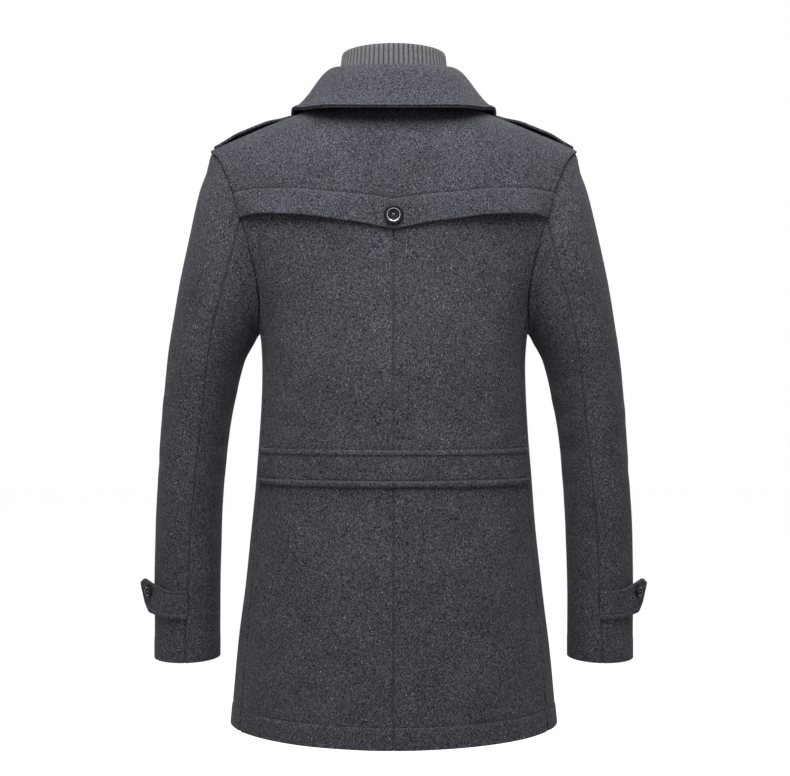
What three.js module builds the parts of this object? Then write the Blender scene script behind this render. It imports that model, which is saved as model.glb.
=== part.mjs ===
// Men's wool coat of hip length with a ribbed knit inner collar, hollow as it is worn.
// Millimetres, +Z up. The front of the coat faces -Y and the wearer's left is +X.
// The origin is the centre of the neck opening, level with the neck ends of the shoulder seams.
import * as THREE from 'three';

// Cloth and seams
const CLOTH = 2.5;
const SEAM = 0.3;
const OVERLAY_GAP = 0.45;

// Body: shoulders, neck and hem
const SHOULDER_Y = -5;
const SHOULDER_HALF = 230;
const SHOULDER_SLOPE = 0.4;
const NECK_HALF = 78;
const NECK_SIDE_Z = -6;
const NECK_BACK_Z = -22;
const NECK_FRONT_Z = -85;
const BLADE_Z = -190;
const HEM_Z = -778;
const BACK_SHOULDER_ROUND = 2.6;
const FRONT_SHOULDER_ROUND = 1.5;
const SIDE_SEAM_DEPTH = 0.387;

// Level sections of the body form: half width, depths behind and before, and how square the section is
const BODY_SECTIONS = [
  { z: -778, half: 204.5, back: 150, front: 152, square: 1.95 },
  { z: -716, half: 198.5, back: 145, front: 146, square: 2.0 },
  { z: -603, half: 185.5, back: 134, front: 134, square: 2.15 },
  { z: -490, half: 173.5, back: 124, front: 126, square: 2.3 },
  { z: -414, half: 168, back: 122, front: 126, square: 2.4 },
  { z: -338, half: 164.5, back: 124, front: 129, square: 2.4 },
  { z: -300, half: 166.8, back: 122, front: 129, square: 2.4 },
  { z: -262, half: 176.5, back: 119, front: 127, square: 2.4 },
  { z: -220, half: 201, back: 116, front: 124, square: 2.4 },
  { z: -190, half: 220, back: 115, front: 122, square: 2.4 },
  { z: -160, half: 232, back: 115, front: 121, square: 2.4 },
  { z: -120, half: 239, back: 115, front: 120, square: 2.4 },
  { z: -67, half: 246, back: 116, front: 119, square: 2.4 },
  { z: 20, half: 252, back: 116, front: 118, square: 2.4 },
];

// Armhole: a ring from the shoulder tip, round the back, the underarm and the front
const ARMHOLE_TOP_Z = -67;
const ARMHOLE_BOTTOM_Z = -292;
const ARMHOLE_BACK_Y = 80;
const ARMHOLE_FRONT_Y = 85;
const FRONT_CORNER_ANGLE = 225;
const ARMHOLE_EDGE = [
  { z: -190, back: 175, front: 175.9 },
  { z: -175, back: 178.5, front: 178.8 },
  { z: -158, back: 184, front: 182.6 },
  { z: -137, back: 189.5, front: 187.5 },
  { z: -110, back: 199.5, front: 196.5 },
  { z: -82, back: 214, front: 214 },
  { z: -67, back: 230, front: 230 },
];

// Shares of a panel's width, from the centre to the side
const PANEL_SHARES = [0, 0.085, 0.17, 0.255, NECK_HALF / SHOULDER_HALF, 0.43, 0.52, 0.61, 0.7, 0.79, 0.87, 0.94, 1];
const NECK_COLUMN = 4;
const LEVEL_ROWS = [HEM_Z, -716, -652, -590, -532, -477, -434, -390, -345, -305];
const BACK_ARM_ROWS = [-250, -228, -208, BLADE_Z];
const BACK_TOP_ROWS = [0, 0.2, 0.4, 0.6, 0.78, 0.91, 1];
const FRONT_ARM_ROWS = [-236, -212, BLADE_Z];
const FRONT_TOP_ROWS = [0.14, 0.3, 0.46, 0.62, 0.77, 0.9, 1];
const UNDERARM_ANGLES = [158, 171, 184, 197, 211];

// Storm flap across the back: height of its free edge at distances from the centre
const YOKE_EDGE = [
  { x: 0, z: -174 },
  { x: 25, z: -169 },
  { x: 47, z: -165 },
  { x: 77, z: -161 },
  { x: 108, z: -157 },
  { x: 160, z: -154 },
  { x: 190, z: -157 },
];
const YOKE_THICK = 2.6;
const YOKE_SIDE_INSET = 1.2;
const YOKE_NECK_INSET = 7;
const YOKE_LIFT = 2.2;
const YOKE_BUTTON_Z = -158;

// Half belt at the waist
const BELT_TOP_Z = -434;
const BELT_BOTTOM_Z = -477;
const BELT_WELT = 7;
const BELT_THICK = 2.4;
const BELT_WELT_RISE = 1.1;
const BELT_INSET = 1.5;

// Front edges: left over right
const FRONT_OVERLAP = 25;
const FRONT_LAYER = 1.55;
const LAYER_FULL = 32;
const LAYER_END = 72;
const FRONT_BUTTON_HEIGHTS = [-125, -235, -345, -455, -565];

// Sleeve sections: inner and outer line in front view, half depth and middle in side view, and the back seam's
// angle round each, where 0 is the outer line and 90 is behind
const SLEEVE_SECTIONS = [
  { innerX: 170.5, innerZ: -295, outerX: 233, outerZ: -86, halfDepth: 80, midY: -2, seam: 99 },
  { innerX: 173, innerZ: -299, outerX: 242, outerZ: -112, halfDepth: 78.5, midY: -1, seam: 101 },
  { innerX: 176, innerZ: -305, outerX: 255, outerZ: -165, halfDepth: 76.5, midY: -1, seam: 101 },
  { innerX: 181, innerZ: -313, outerX: 267.5, outerZ: -222, halfDepth: 73.5, midY: -3, seam: 101 },
  { innerX: 187.5, innerZ: -325, outerX: 276.5, outerZ: -272, halfDepth: 70, midY: -5, seam: 102.5 },
  { innerX: 194, innerZ: -345, outerX: 284, outerZ: -318, halfDepth: 67, midY: -8, seam: 105 },
  { innerX: 202.5, innerZ: -380, outerX: 289.5, outerZ: -365, halfDepth: 64.5, midY: -12, seam: 108.5 },
  { innerX: 209.5, innerZ: -420, outerX: 294.5, outerZ: -414, halfDepth: 62.5, midY: -16, seam: 109.5 },
  { innerX: 215, innerZ: -470, outerX: 299, outerZ: -468, halfDepth: 60.5, midY: -20, seam: 108.5 },
  { innerX: 219.5, innerZ: -535, outerX: 303, outerZ: -534, halfDepth: 57, midY: -23.5, seam: 104.5 },
  { innerX: 222, innerZ: -610, outerX: 305, outerZ: -610, halfDepth: 53.5, midY: -26, seam: 102 },
  { innerX: 222.5, innerZ: -656, outerX: 305, outerZ: -656, halfDepth: 51.5, midY: -27, seam: 98 },
  { innerX: 222.5, innerZ: -703, outerX: 305, outerZ: -703, halfDepth: 50, midY: -27, seam: 95.4 },
];
const UNDER_SLEEVE_FRONT_ANGLE = 250;
const SLEEVE_SEAM = 0.55;

// Cuff tab: from the back sleeve seam round the cuff, its free end standing off the sleeve
const TAB_MIDDLE_Z = -630;
const TAB_HALF_HEIGHT = 17.3;
const TAB_END_HALF_HEIGHT = 23.5;
const TAB_THICK = 3;
const TAB_STAND_OFF = 0.9;
const TAB_START_ANGLE = 102.5;
const TAB_LEAVE_ANGLE = 66;
const TAB_FREE = 45;
const TAB_SKEW = 6;
const TAB_CURL = 0.5;
const TAB_CORNER = 9;
const TAB_RISE = 8.5;
const TAB_BUTTON_PLACE = 30;
const TAB_BUTTON_RISE = 14;

// Turn-down collar
const FOLD_HALF = 74.5;
const FOLD_BACK_Y = 82;
const FOLD_FRONT_Y = -94;
const FOLD_END_ANGLE = 173;
const LEAF_OUT = 20;
const LEAF_DROP = 3;
const LEAF_BEND = 0.45;
const LEAF_FLARE = 0.25;
const COLLAR_THICK = 3.6;
const STAND_THICK = 2.5;
const COLLAR_STEPS = 36;
const COLLAR_PATH = [
  { angle: 0, foldZ: 28, edgeX: 0, edgeY: 117, edgeZ: -29 },
  { angle: 20, foldZ: 29, edgeX: 41, edgeY: 113, edgeZ: -28 },
  { angle: 40, foldZ: 31, edgeX: 80, edgeY: 98, edgeZ: -25 },
  { angle: 60, foldZ: 35, edgeX: 108, edgeY: 66, edgeZ: -21 },
  { angle: 80, foldZ: 39, edgeX: 126, edgeY: 22, edgeZ: -14 },
  { angle: 100, foldZ: 38, edgeX: 130, edgeY: -28, edgeZ: -17 },
  { angle: 120, foldZ: 27, edgeX: 122, edgeY: -72, edgeZ: -42 },
  { angle: 140, foldZ: 5, edgeX: 108, edgeY: -103, edgeZ: -77 },
  { angle: 158, foldZ: -22, edgeX: 91, edgeY: -117, edgeZ: -110 },
  { angle: 173, foldZ: -46, edgeX: 74, edgeY: -124, edgeZ: -138 },
];

// Ribbed knit inner collar
const KNIT_TOP_HALF = 65.5;
const KNIT_TOP_BACK_Y = 64;
const KNIT_TOP_FRONT_Y = -76;
const KNIT_TOP_Z = 57;
const KNIT_FRONT_DROP = 48;
const KNIT_THICK = 2.4;
const KNIT_RIB_RISE = 1.1;
const KNIT_GAP = 0.75;
const KNIT_RIBS = 66;
const KNIT_END_ANGLE = 176;

// Epaulettes
const EPAULETTE_HALF_WIDTH = 24;
const EPAULETTE_TIP_X = 118;
const EPAULETTE_BASE_X = 224;
const EPAULETTE_BASE_BOW = 5;
const EPAULETTE_POINT = 8;
const EPAULETTE_THICK = 2.7;
const EPAULETTE_LIFT = 3.5;

// Buttons
const BUTTON_RADIUS = 11.5;
const BUTTON_THICK = 4.2;
const SMALL_BUTTON_RADIUS = 8;
const SMALL_BUTTON_THICK = 3.8;
const BUTTON_SIDES = 14;

const WOOL = { color: 0x4c4d54, roughness: 0.95, metalness: 0 };
const KNIT = { color: 0x66676b, roughness: 0.95, metalness: 0 };
const HORN = { color: 0x121214, roughness: 0.25, metalness: 0.1 };

const vec = (x, y, z) => new THREE.Vector3(x, y, z);
const radians = THREE.MathUtils.degToRad;
const smooth = THREE.MathUtils.smoothstep;

// A smooth line through a table's rows that never overshoots between them.
function lineThrough(table, key, column) {
  const rows = [...table].sort((a, b) => a[key] - b[key]);
  const t = rows.map((row) => row[key]);
  const f = rows.map((row) => row[column]);
  const slope = t.slice(1).map((value, i) => (f[i + 1] - f[i]) / (value - t[i]));
  const tangent = t.map((value, i) => {
    if (i === 0) return slope[0];
    if (i === t.length - 1) return slope[i - 1];
    if (slope[i - 1] * slope[i] <= 0) return 0;
    return 2 / (1 / slope[i - 1] + 1 / slope[i]);
  });
  return (at) => {
    const value = THREE.MathUtils.clamp(at, t[0], t[t.length - 1]);
    let i = 0;
    while (i < t.length - 2 && value > t[i + 1]) i += 1;
    const span = t[i + 1] - t[i];
    const s = (value - t[i]) / span;
    const start = (1 + 2 * s) * (1 - s) ** 2 * f[i] + s * (1 - s) ** 2 * span * tangent[i];
    const end = s * s * (3 - 2 * s) * f[i + 1] + s * s * (s - 1) * span * tangent[i + 1];
    return start + end;
  };
}

const halfAt = lineThrough(BODY_SECTIONS, 'z', 'half');
const backAt = lineThrough(BODY_SECTIONS, 'z', 'back');
const frontAt = lineThrough(BODY_SECTIONS, 'z', 'front');
const squareAt = lineThrough(BODY_SECTIONS, 'z', 'square');
const armEdge = {
  back: lineThrough(ARMHOLE_EDGE, 'z', 'back'),
  front: lineThrough(ARMHOLE_EDGE, 'z', 'front'),
};
const yokeEdgeAt = lineThrough(YOKE_EDGE, 'x', 'z');

// Height of the shoulder ridge; inside the neck it is the ridge's smooth continuation.
function ridgeAt(x) {
  const across = Math.abs(x);
  if (across >= NECK_HALF) return NECK_SIDE_Z - SHOULDER_SLOPE * (across - NECK_HALF);
  return NECK_SIDE_Z + (SHOULDER_SLOPE * NECK_HALF / 2) * (1 - (across / NECK_HALF) ** 2);
}

// Height of the neck seam at a distance from the centre.
function neckSeamAt(x, face) {
  const share = Math.min(Math.abs(x) / NECK_HALF, 1);
  if (face === 'back') return NECK_BACK_Z + (NECK_SIDE_Z - NECK_BACK_Z) * share ** 3;
  return NECK_FRONT_Z + (NECK_SIDE_Z - NECK_FRONT_Z) * share ** 2.6;
}

const shoulderRound = (face) => (face === 'back' ? BACK_SHOULDER_ROUND : FRONT_SHOULDER_ROUND);
const depthAt = (z, face) => (face === 'back' ? backAt(z) : frontAt(z));
const riseAt = (x, z) => Math.max(0, (z - BLADE_Z) / (ridgeAt(x) - BLADE_Z));

// The share of a level section's width that is left at a share of its depth, or the other way round.
function sectionShare(share, z) {
  const square = squareAt(z);
  return Math.max(1 - Math.abs(share) ** square, 0) ** (1 / square);
}

// The body form: rounded level sections, drawn in to the shoulder ridge above the blades.
function formY(x, z, face) {
  const sign = face === 'back' ? 1 : -1;
  const full = sign * depthAt(z, face) * sectionShare(Math.min(Math.abs(x) / halfAt(z), 1), z);
  const power = shoulderRound(face);
  const keep = (1 - Math.min(riseAt(x, z), 1) ** power) ** (1 / power);
  if (z <= BLADE_Z) return full;
  return SHOULDER_Y + (full - SHOULDER_Y) * keep;
}

// Outward direction of the body form at a point, from the slopes of its level function.
function formNormal(point) {
  const step = 0.02;
  const face = point.y >= (point.z > BLADE_Z ? SHOULDER_Y : 0) ? 'back' : 'front';
  const level = (x, y, z) => {
    const across = Math.abs(x) / halfAt(z);
    const power = shoulderRound(face);
    const square = squareAt(z);
    if (z <= BLADE_Z) return across ** square + (Math.abs(y) / depthAt(z, face)) ** square - 1;
    const sign = face === 'back' ? 1 : -1;
    const full = sign * depthAt(z, face) * Math.max(sectionShare(across, z), 0.001);
    const share = Math.abs((y - SHOULDER_Y) / (full - SHOULDER_Y));
    return share ** power + riseAt(x, z) ** power - 1;
  };
  const slope = (dx, dy, dz) => (
    level(point.x + dx, point.y + dy, point.z + dz) - level(point.x - dx, point.y - dy, point.z - dz)
  );
  return vec(slope(step, 0, 0), slope(0, step, 0), slope(0, 0, step)).normalize();
}

const armholeMidZ = (ARMHOLE_TOP_Z + ARMHOLE_BOTTOM_Z) / 2;
const armholeHalfZ = (ARMHOLE_TOP_Z - ARMHOLE_BOTTOM_Z) / 2;
const armholeHeight = (angle) => armholeMidZ + armholeHalfZ * Math.cos(radians(angle));

// A point of the left armhole, by its angle round the ring.
function armholePoint(angle) {
  const z = armholeHeight(angle);
  const face = angle <= 180 ? 'back' : 'front';
  if (z >= BLADE_Z) {
    const x = armEdge[face](z);
    return vec(x, formY(x, z, face), z);
  }
  const y = (face === 'back' ? ARMHOLE_BACK_Y : ARMHOLE_FRONT_Y) * Math.sin(radians(angle));
  const share = Math.abs(y) / depthAt(z, face);
  return vec(halfAt(z) * sectionShare(share, z), y, z);
}

const angleOfHeight = (z, face) => {
  const angle = THREE.MathUtils.radToDeg(Math.acos(THREE.MathUtils.clamp((z - armholeMidZ) / armholeHalfZ, -1, 1)));
  return face === 'back' ? angle : 360 - angle;
};

const sideSeamX = (z) => halfAt(z) * sectionShare(SIDE_SEAM_DEPTH, z);

// Angle of the ring where the side seam meets it, found by halving.
function sideSeamAngle() {
  let low = 100;
  let high = 179;
  for (let i = 0; i < 40; i += 1) {
    const middle = (low + high) / 2;
    const point = armholePoint(middle);
    if (point.y > SIDE_SEAM_DEPTH * backAt(point.z)) low = middle;
    else high = middle;
  }
  return low;
}

const SEAM_ANGLE = sideSeamAngle();
const SEAM_TOP_Z = armholeHeight(SEAM_ANGLE);

// Rows of a panel above the blade line: each gives the height at a share of the panel's width.
function topRow(face, share, part) {
  const power = shoulderRound(face);
  let x = share * SHOULDER_HALF;
  let z = 0;
  for (let pass = 0; pass < 12; pass += 1) {
    const ridge = ridgeAt(x);
    const top = Math.abs(x) < NECK_HALF ? neckSeamAt(x, face) : ridge;
    const start = face === 'back' ? yokeEdgeAt(Math.abs(x)) : BLADE_Z;
    const angleOf = (height) => Math.asin(Math.min((height - BLADE_Z) / (ridge - BLADE_Z), 1) ** (power / 2));
    const angle = angleOf(start) + (angleOf(top) - angleOf(start)) * part;
    z = BLADE_Z + (ridge - BLADE_Z) * Math.sin(angle) ** (2 / power);
    if (part === 1) break;
    x = share * edgeOfRow(face, part);
  }
  return vec(x, formY(x, z, face), z);
}

// Distance of the armhole edge from the centre on one of the rows above the blade line.
const edgeCache = new Map();
function edgeOfRow(face, part) {
  const key = `${face}${part}`;
  if (edgeCache.has(key)) return edgeCache.get(key);
  const power = shoulderRound(face);
  let x = 190;
  for (let pass = 0; pass < 60; pass += 1) {
    const ridge = ridgeAt(x);
    const start = face === 'back' ? yokeEdgeAt(x) : BLADE_Z;
    const startAngle = Math.asin(((start - BLADE_Z) / (ridge - BLADE_Z)) ** (power / 2));
    const angle = startAngle + (Math.PI / 2 - startAngle) * part;
    const z = BLADE_Z + (ridge - BLADE_Z) * Math.sin(angle) ** (2 / power);
    x = 0.5 * x + 0.5 * armEdge[face](z);
  }
  edgeCache.set(key, x);
  return x;
}

function levelPoint(face, share, z, edge) {
  const x = share * edge;
  return vec(x, formY(x, z, face), z);
}

// The back's rows from the hem to the shoulder seam, for the wearer's left half.
function backPoint(column, row) {
  const share = PANEL_SHARES[column];
  const levels = LEVEL_ROWS.length;
  if (row < levels) return levelPoint('back', share, LEVEL_ROWS[row], sideSeamX(LEVEL_ROWS[row]));
  if (row === levels) return levelPoint('back', share, SEAM_TOP_Z, armholePoint(SEAM_ANGLE).x);
  const arm = row - levels - 1;
  if (arm < BACK_ARM_ROWS.length) {
    const z = BACK_ARM_ROWS[arm];
    return levelPoint('back', share, z, armholePoint(angleOfHeight(z, 'back')).x);
  }
  return topRow('back', share, BACK_TOP_ROWS[arm - BACK_ARM_ROWS.length]);
}
const BACK_COLUMNS = PANEL_SHARES.length;
const BACK_ROWS = LEVEL_ROWS.length + 1 + BACK_ARM_ROWS.length + BACK_TOP_ROWS.length;
const YOKE_FIRST_ROW = LEVEL_ROWS.length + 1 + BACK_ARM_ROWS.length;

// The front's columns: under the arm from the side seam, then to the centre and the overlap.
const cornerPoint = armholePoint(FRONT_CORNER_ANGLE);
const cornerShare = cornerPoint.x / halfAt(cornerPoint.z);
const underarm = [SEAM_ANGLE, ...UNDERARM_ANGLES].map((angle) => armholePoint(angle));
const CORNER_COLUMN = underarm.length;
const frontShares = [...PANEL_SHARES].reverse();
const OVERLAP_STEPS = 2;
const FRONT_COLUMNS = CORNER_COLUMN + frontShares.length + OVERLAP_STEPS;
const CORNER_ROW = LEVEL_ROWS.length;
const FRONT_ROWS = CORNER_ROW + 1 + FRONT_ARM_ROWS.length + FRONT_TOP_ROWS.length;
const LAST_LEVEL_ROW = LEVEL_ROWS.length - 2;

function frontHeight(row, ringZ) {
  if (row <= LAST_LEVEL_ROW) return LEVEL_ROWS[row];
  const base = LEVEL_ROWS[LAST_LEVEL_ROW];
  const share = row === CORNER_ROW ? 1 : (LEVEL_ROWS[row] - base) / (SEAM_TOP_Z - base);
  return base + (ringZ - base) * share;
}

function frontPoint(column, row) {
  if (column < CORNER_COLUMN) {
    const ring = underarm[column];
    const face = ring.y >= 0 ? 'back' : 'front';
    const depthShare = ring.y / depthAt(ring.z, face);
    const z = frontHeight(row, ring.z);
    return vec(halfAt(z) * sectionShare(depthShare, z), depthShare * depthAt(z, face), z);
  }
  const index = column - CORNER_COLUMN;
  const past = index - (frontShares.length - 1);
  const share = past > 0 ? 0 : frontShares[index];
  const point = frontShare(share, row);
  if (past <= 0) return point;
  const x = -FRONT_OVERLAP * past / OVERLAP_STEPS;
  const mirrored = frontShare(-x / edgeOfFront(row), row);
  return vec(x, mirrored.y, mirrored.z);
}

function edgeOfFront(row) {
  const arm = row - CORNER_ROW - 1;
  if (row <= CORNER_ROW) return halfAt(frontHeight(row, cornerPoint.z)) * cornerShare;
  if (arm < FRONT_ARM_ROWS.length) return armholePoint(angleOfHeight(FRONT_ARM_ROWS[arm], 'front')).x;
  const part = FRONT_TOP_ROWS[arm - FRONT_ARM_ROWS.length];
  return part === 1 ? SHOULDER_HALF : edgeOfRow('front', part);
}

function frontShare(share, row) {
  const arm = row - CORNER_ROW - 1;
  if (row <= CORNER_ROW) return levelPoint('front', share, frontHeight(row, cornerPoint.z), edgeOfFront(row));
  if (arm < FRONT_ARM_ROWS.length) return levelPoint('front', share, FRONT_ARM_ROWS[arm], edgeOfFront(row));
  return topRow('front', share, FRONT_TOP_ROWS[arm - FRONT_ARM_ROWS.length]);
}

// The armhole ring: every panel vertex on the seam, in order from the shoulder tip.
function armholeRing() {
  const ring = [];
  for (let row = BACK_ROWS - 1; row >= LEVEL_ROWS.length; row -= 1) {
    ring.push({ panel: 'back', column: BACK_COLUMNS - 1, row, point: backPoint(BACK_COLUMNS - 1, row) });
  }
  ring[0].point.y = SHOULDER_Y;
  for (let column = 1; column < CORNER_COLUMN; column += 1) {
    ring.push({ panel: 'front', column, row: CORNER_ROW, point: underarm[column].clone() });
  }
  for (let row = CORNER_ROW; row < FRONT_ROWS - 1; row += 1) {
    ring.push({ panel: 'front', column: CORNER_COLUMN, row, point: frontPoint(CORNER_COLUMN, row) });
  }
  for (const vertex of ring) {
    const { y, z } = vertex.point;
    const sine = THREE.MathUtils.clamp((z - armholeMidZ) / armholeHalfZ, -1, 1);
    const angle = Math.acos(sine);
    vertex.angle = y >= (z > BLADE_Z ? SHOULDER_Y - 0.01 : 0) ? angle : 2 * Math.PI - angle;
    vertex.normal = formNormal(vertex.point);
  }
  return ring;
}
const RING = armholeRing();

// One vertex of a sleeve section at the ring's angle.
function sleevePoint(section, angle) {
  const middleX = (section.outerX + section.innerX) / 2;
  const middleZ = (section.outerZ + section.innerZ) / 2;
  const halfX = (section.outerX - section.innerX) / 2;
  const halfZ = (section.outerZ - section.innerZ) / 2;
  const across = Math.cos(angle);
  return vec(middleX + halfX * across, section.midY + section.halfDepth * Math.sin(angle), middleZ + halfZ * across);
}

// The sleeve's two seams leave the armhole at the storm flap's corner and in front.
const BACK_SEAM_VERTEX = RING.findIndex((vertex) => vertex.panel === 'back' && vertex.row === YOKE_FIRST_ROW);
const FRONT_SEAM_VERTEX = RING.findIndex((vertex) => vertex.angle >= radians(UNDER_SLEEVE_FRONT_ANGLE));

// The angle round a section of an armhole vertex, turned so that the back seam keeps to the section's own angle.
// Beyond the underarm nothing is turned.
function sectionAngle(section, angle) {
  const back = RING[BACK_SEAM_VERTEX].angle;
  const seam = radians(section.seam);
  if (angle >= Math.PI) return angle;
  if (angle <= back) return angle * seam / back;
  return seam + (Math.PI - seam) * (angle - back) / (Math.PI - back);
}

// Mitre of the body and the sleeve cloth at each vertex of the armhole.
RING.forEach((vertex, i) => {
  const before = RING[(i + RING.length - 1) % RING.length].point;
  const after = RING[(i + 1) % RING.length].point;
  const along = after.clone().sub(before).normalize();
  const first = SLEEVE_SECTIONS[0];
  const down = sleevePoint(first, sectionAngle(first, vertex.angle)).sub(vertex.point).normalize();
  const sleeveNormal = along.clone().cross(down).normalize();
  const centre = sleevePoint(SLEEVE_SECTIONS[1], vertex.angle + Math.PI);
  if (sleeveNormal.dot(vertex.point.clone().sub(centre)) < 0) sleeveNormal.negate();
  const sum = vertex.normal.clone().add(sleeveNormal);
  const mitre = sum.divideScalar(Math.max(1 + vertex.normal.dot(sleeveNormal), 0.3));
  if (mitre.length() > 2) mitre.setLength(2);
  vertex.mitre = mitre;
  const aside = along.clone().cross(mitre).normalize();
  if (aside.dot(down) < 0) aside.negate();
  vertex.aside = aside;
});

// A closed wall: a grid of outer and inner points, stitched together along its edges.
function wall(columns, rows, place, has = () => true) {
  const positions = [];
  const index = new Map();
  const triangles = [];
  const vertex = (i, j, side) => {
    const key = `${i},${j},${side}`;
    if (!index.has(key)) {
      const pair = place(i, j);
      const point = side === 'out' ? pair.out : pair.in;
      index.set(key, positions.length / 3);
      positions.push(point.x, point.y, point.z);
    }
    return index.get(key);
  };
  const cell = (i, j) => i >= 0 && j >= 0 && i < columns - 1 && j < rows - 1 && has(i, j);
  const quad = (a, b, c, d) => triangles.push(a, b, c, a, c, d);
  for (let i = 0; i < columns - 1; i += 1) {
    for (let j = 0; j < rows - 1; j += 1) {
      if (!cell(i, j)) continue;
      const corners = [[i, j], [i + 1, j], [i + 1, j + 1], [i, j + 1]];
      quad(...corners.map(([a, b]) => vertex(a, b, 'out')));
      quad(...[...corners].reverse().map(([a, b]) => vertex(a, b, 'in')));
      const beyond = [cell(i, j - 1), cell(i + 1, j), cell(i, j + 1), cell(i - 1, j)];
      beyond.forEach((shared, side) => {
        if (shared) return;
        const [p, q] = [corners[side], corners[(side + 1) % 4]];
        quad(vertex(...q, 'out'), vertex(...p, 'out'), vertex(...p, 'in'), vertex(...q, 'in'));
      });
    }
  }
  return closed(positions, triangles);
}

// Turns every triangle round when the enclosed volume comes out negative.
function closed(positions, triangles) {
  let volume = 0;
  const at = (i) => vec(positions[3 * i], positions[3 * i + 1], positions[3 * i + 2]);
  for (let i = 0; i < triangles.length; i += 3) {
    volume += at(triangles[i]).dot(at(triangles[i + 1]).cross(at(triangles[i + 2])));
  }
  if (volume < 0) triangles.reverse();
  const geometry = new THREE.BufferGeometry();
  geometry.setAttribute('position', new THREE.Float32BufferAttribute(positions, 3));
  geometry.setIndex(triangles);
  geometry.computeVertexNormals();
  return geometry;
}

const mirrorX = (point, side) => vec(point.x * side, point.y, point.z);

// Moves a point sideways by half a seam, along the body form.
function besideSeam(point, normal, towards) {
  const shift = towards.clone().addScaledVector(normal, -towards.dot(normal)).normalize();
  return point.clone().addScaledVector(shift, SEAM / 2);
}

const ringMitre = (panel, column, row) => (
  RING.find((vertex) => vertex.panel === panel && vertex.column === column && vertex.row === row)
);

// One back, with half a seam left free along the centre, the side and the shoulder.
function back(side) {
  return wall(BACK_COLUMNS, BACK_ROWS, (i, j) => {
    const point = backPoint(i, j);
    const last = i === BACK_COLUMNS - 1;
    const ring = last ? ringMitre('back', i, j) : undefined;
    const normal = formNormal(point);
    let placed = point;
    if (i === 0) placed = vec(SEAM / 2, point.y, point.z);
    if (last && j <= LEVEL_ROWS.length) placed = besideSeam(point, normal, vec(-0.3, 1, 0));
    if (j === BACK_ROWS - 1 && i >= NECK_COLUMN) placed = placed.clone().setY(SHOULDER_Y + SEAM / 2);
    const inward = ring ? ring.mitre : normal;
    const inner = placed.clone().addScaledVector(inward, -CLOTH);
    if (i === 0) inner.x = SEAM / 2;
    if (j === BACK_ROWS - 1 && i >= NECK_COLUMN) inner.y = SHOULDER_Y + SEAM / 2;
    return { out: mirrorX(placed, side), in: mirrorX(inner, side) };
  });
}

// One front. The left front edge lies over the right one.
function front(side) {
  const layer = side > 0 ? FRONT_LAYER : -FRONT_LAYER;
  const has = (i, j) => i >= CORNER_COLUMN || j < CORNER_ROW;
  return wall(FRONT_COLUMNS, FRONT_ROWS, (i, j) => {
    const point = frontPoint(i, j);
    const normal = formNormal(point);
    const underRing = j === CORNER_ROW && i > 0 && i <= CORNER_COLUMN;
    const onRing = underRing || (i === CORNER_COLUMN && j > CORNER_ROW && j < FRONT_ROWS - 1);
    const ring = onRing ? ringMitre('front', i, j) : undefined;
    let placed = point;
    let inward = ring ? ring.mitre : normal;
    if (i === 0) placed = besideSeam(point, normal, vec(0.3, -1, 0));
    if (i === 0 && j === CORNER_ROW) inward = RING.find((vertex) => vertex.row === LEVEL_ROWS.length).mitre;
    if (i === CORNER_COLUMN && j === FRONT_ROWS - 1) inward = RING[0].mitre;
    const shift = layer * (1 - smooth(point.x, LAYER_FULL, LAYER_END));
    const outer = placed.clone().addScaledVector(normal, shift);
    const inner = outer.clone().addScaledVector(inward, -CLOTH);
    if (j === FRONT_ROWS - 1 && i <= CORNER_COLUMN + BACK_COLUMNS - 1 - NECK_COLUMN) {
      outer.y = SHOULDER_Y - SEAM / 2;
      inner.y = SHOULDER_Y - SEAM / 2;
    }
    return { out: mirrorX(outer, side), in: mirrorX(inner, side) };
  }, has);
}

// The whole sleeve as rings of points with outward directions, shared by its two halves.
function sleeveRings() {
  const rings = [RING.map((vertex) => vertex.point.clone().addScaledVector(vertex.aside, SEAM))];
  for (const section of SLEEVE_SECTIONS) {
    rings.push(RING.map((vertex) => sleevePoint(section, sectionAngle(section, vertex.angle))));
  }
  const count = RING.length;
  return rings.map((ring, r) => ring.map((point, k) => {
    if (r === 0) return { point, inward: RING[k].mitre, along: vec(0, 0, 0) };
    const along = ring[(k + 1) % count].clone().sub(ring[(k + count - 1) % count]).normalize();
    const above = rings[r - 1][k];
    const below = rings[Math.min(r + 1, rings.length - 1)][k];
    const normal = along.clone().cross(below.clone().sub(above)).normalize();
    const middle = ring.reduce((sum, other) => sum.add(other), vec(0, 0, 0)).divideScalar(count);
    if (normal.dot(point.clone().sub(middle)) < 0) normal.negate();
    return { point, inward: normal, along };
  }));
}
const SLEEVE = sleeveRings();

// Half a sleeve between two vertices of the ring, with half a seam free along each side.
function sleeveHalf(side, first, last) {
  const count = RING.length;
  const span = ((last - first + count) % count) + 1;
  const at = (row, k) => SLEEVE[row][(first + k + count) % count];
  return wall(span, SLEEVE.length, (k, row) => {
    const { point, inward } = at(row, k);
    const placed = point.clone();
    const inner = point.clone().addScaledVector(inward, -CLOTH);
    const edge = k === 0 ? 1 : k === span - 1 ? -1 : 0;
    if (edge !== 0) {
      const next = at(row, k + 1).point.clone().sub(at(row, k - 1).point);
      const seamLine = at(Math.min(row + 1, SLEEVE.length - 1), k).point.clone().sub(at(Math.max(row - 1, 0), k).point);
      const aside = seamLine.cross(inward).normalize();
      if (aside.dot(next) < 0) aside.negate();
      placed.addScaledVector(aside, edge * SLEEVE_SEAM / 2);
      inner.addScaledVector(aside, edge * SLEEVE_SEAM / 2);
    }
    return { out: mirrorX(placed, side), in: mirrorX(inner, side) };
  });
}

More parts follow.
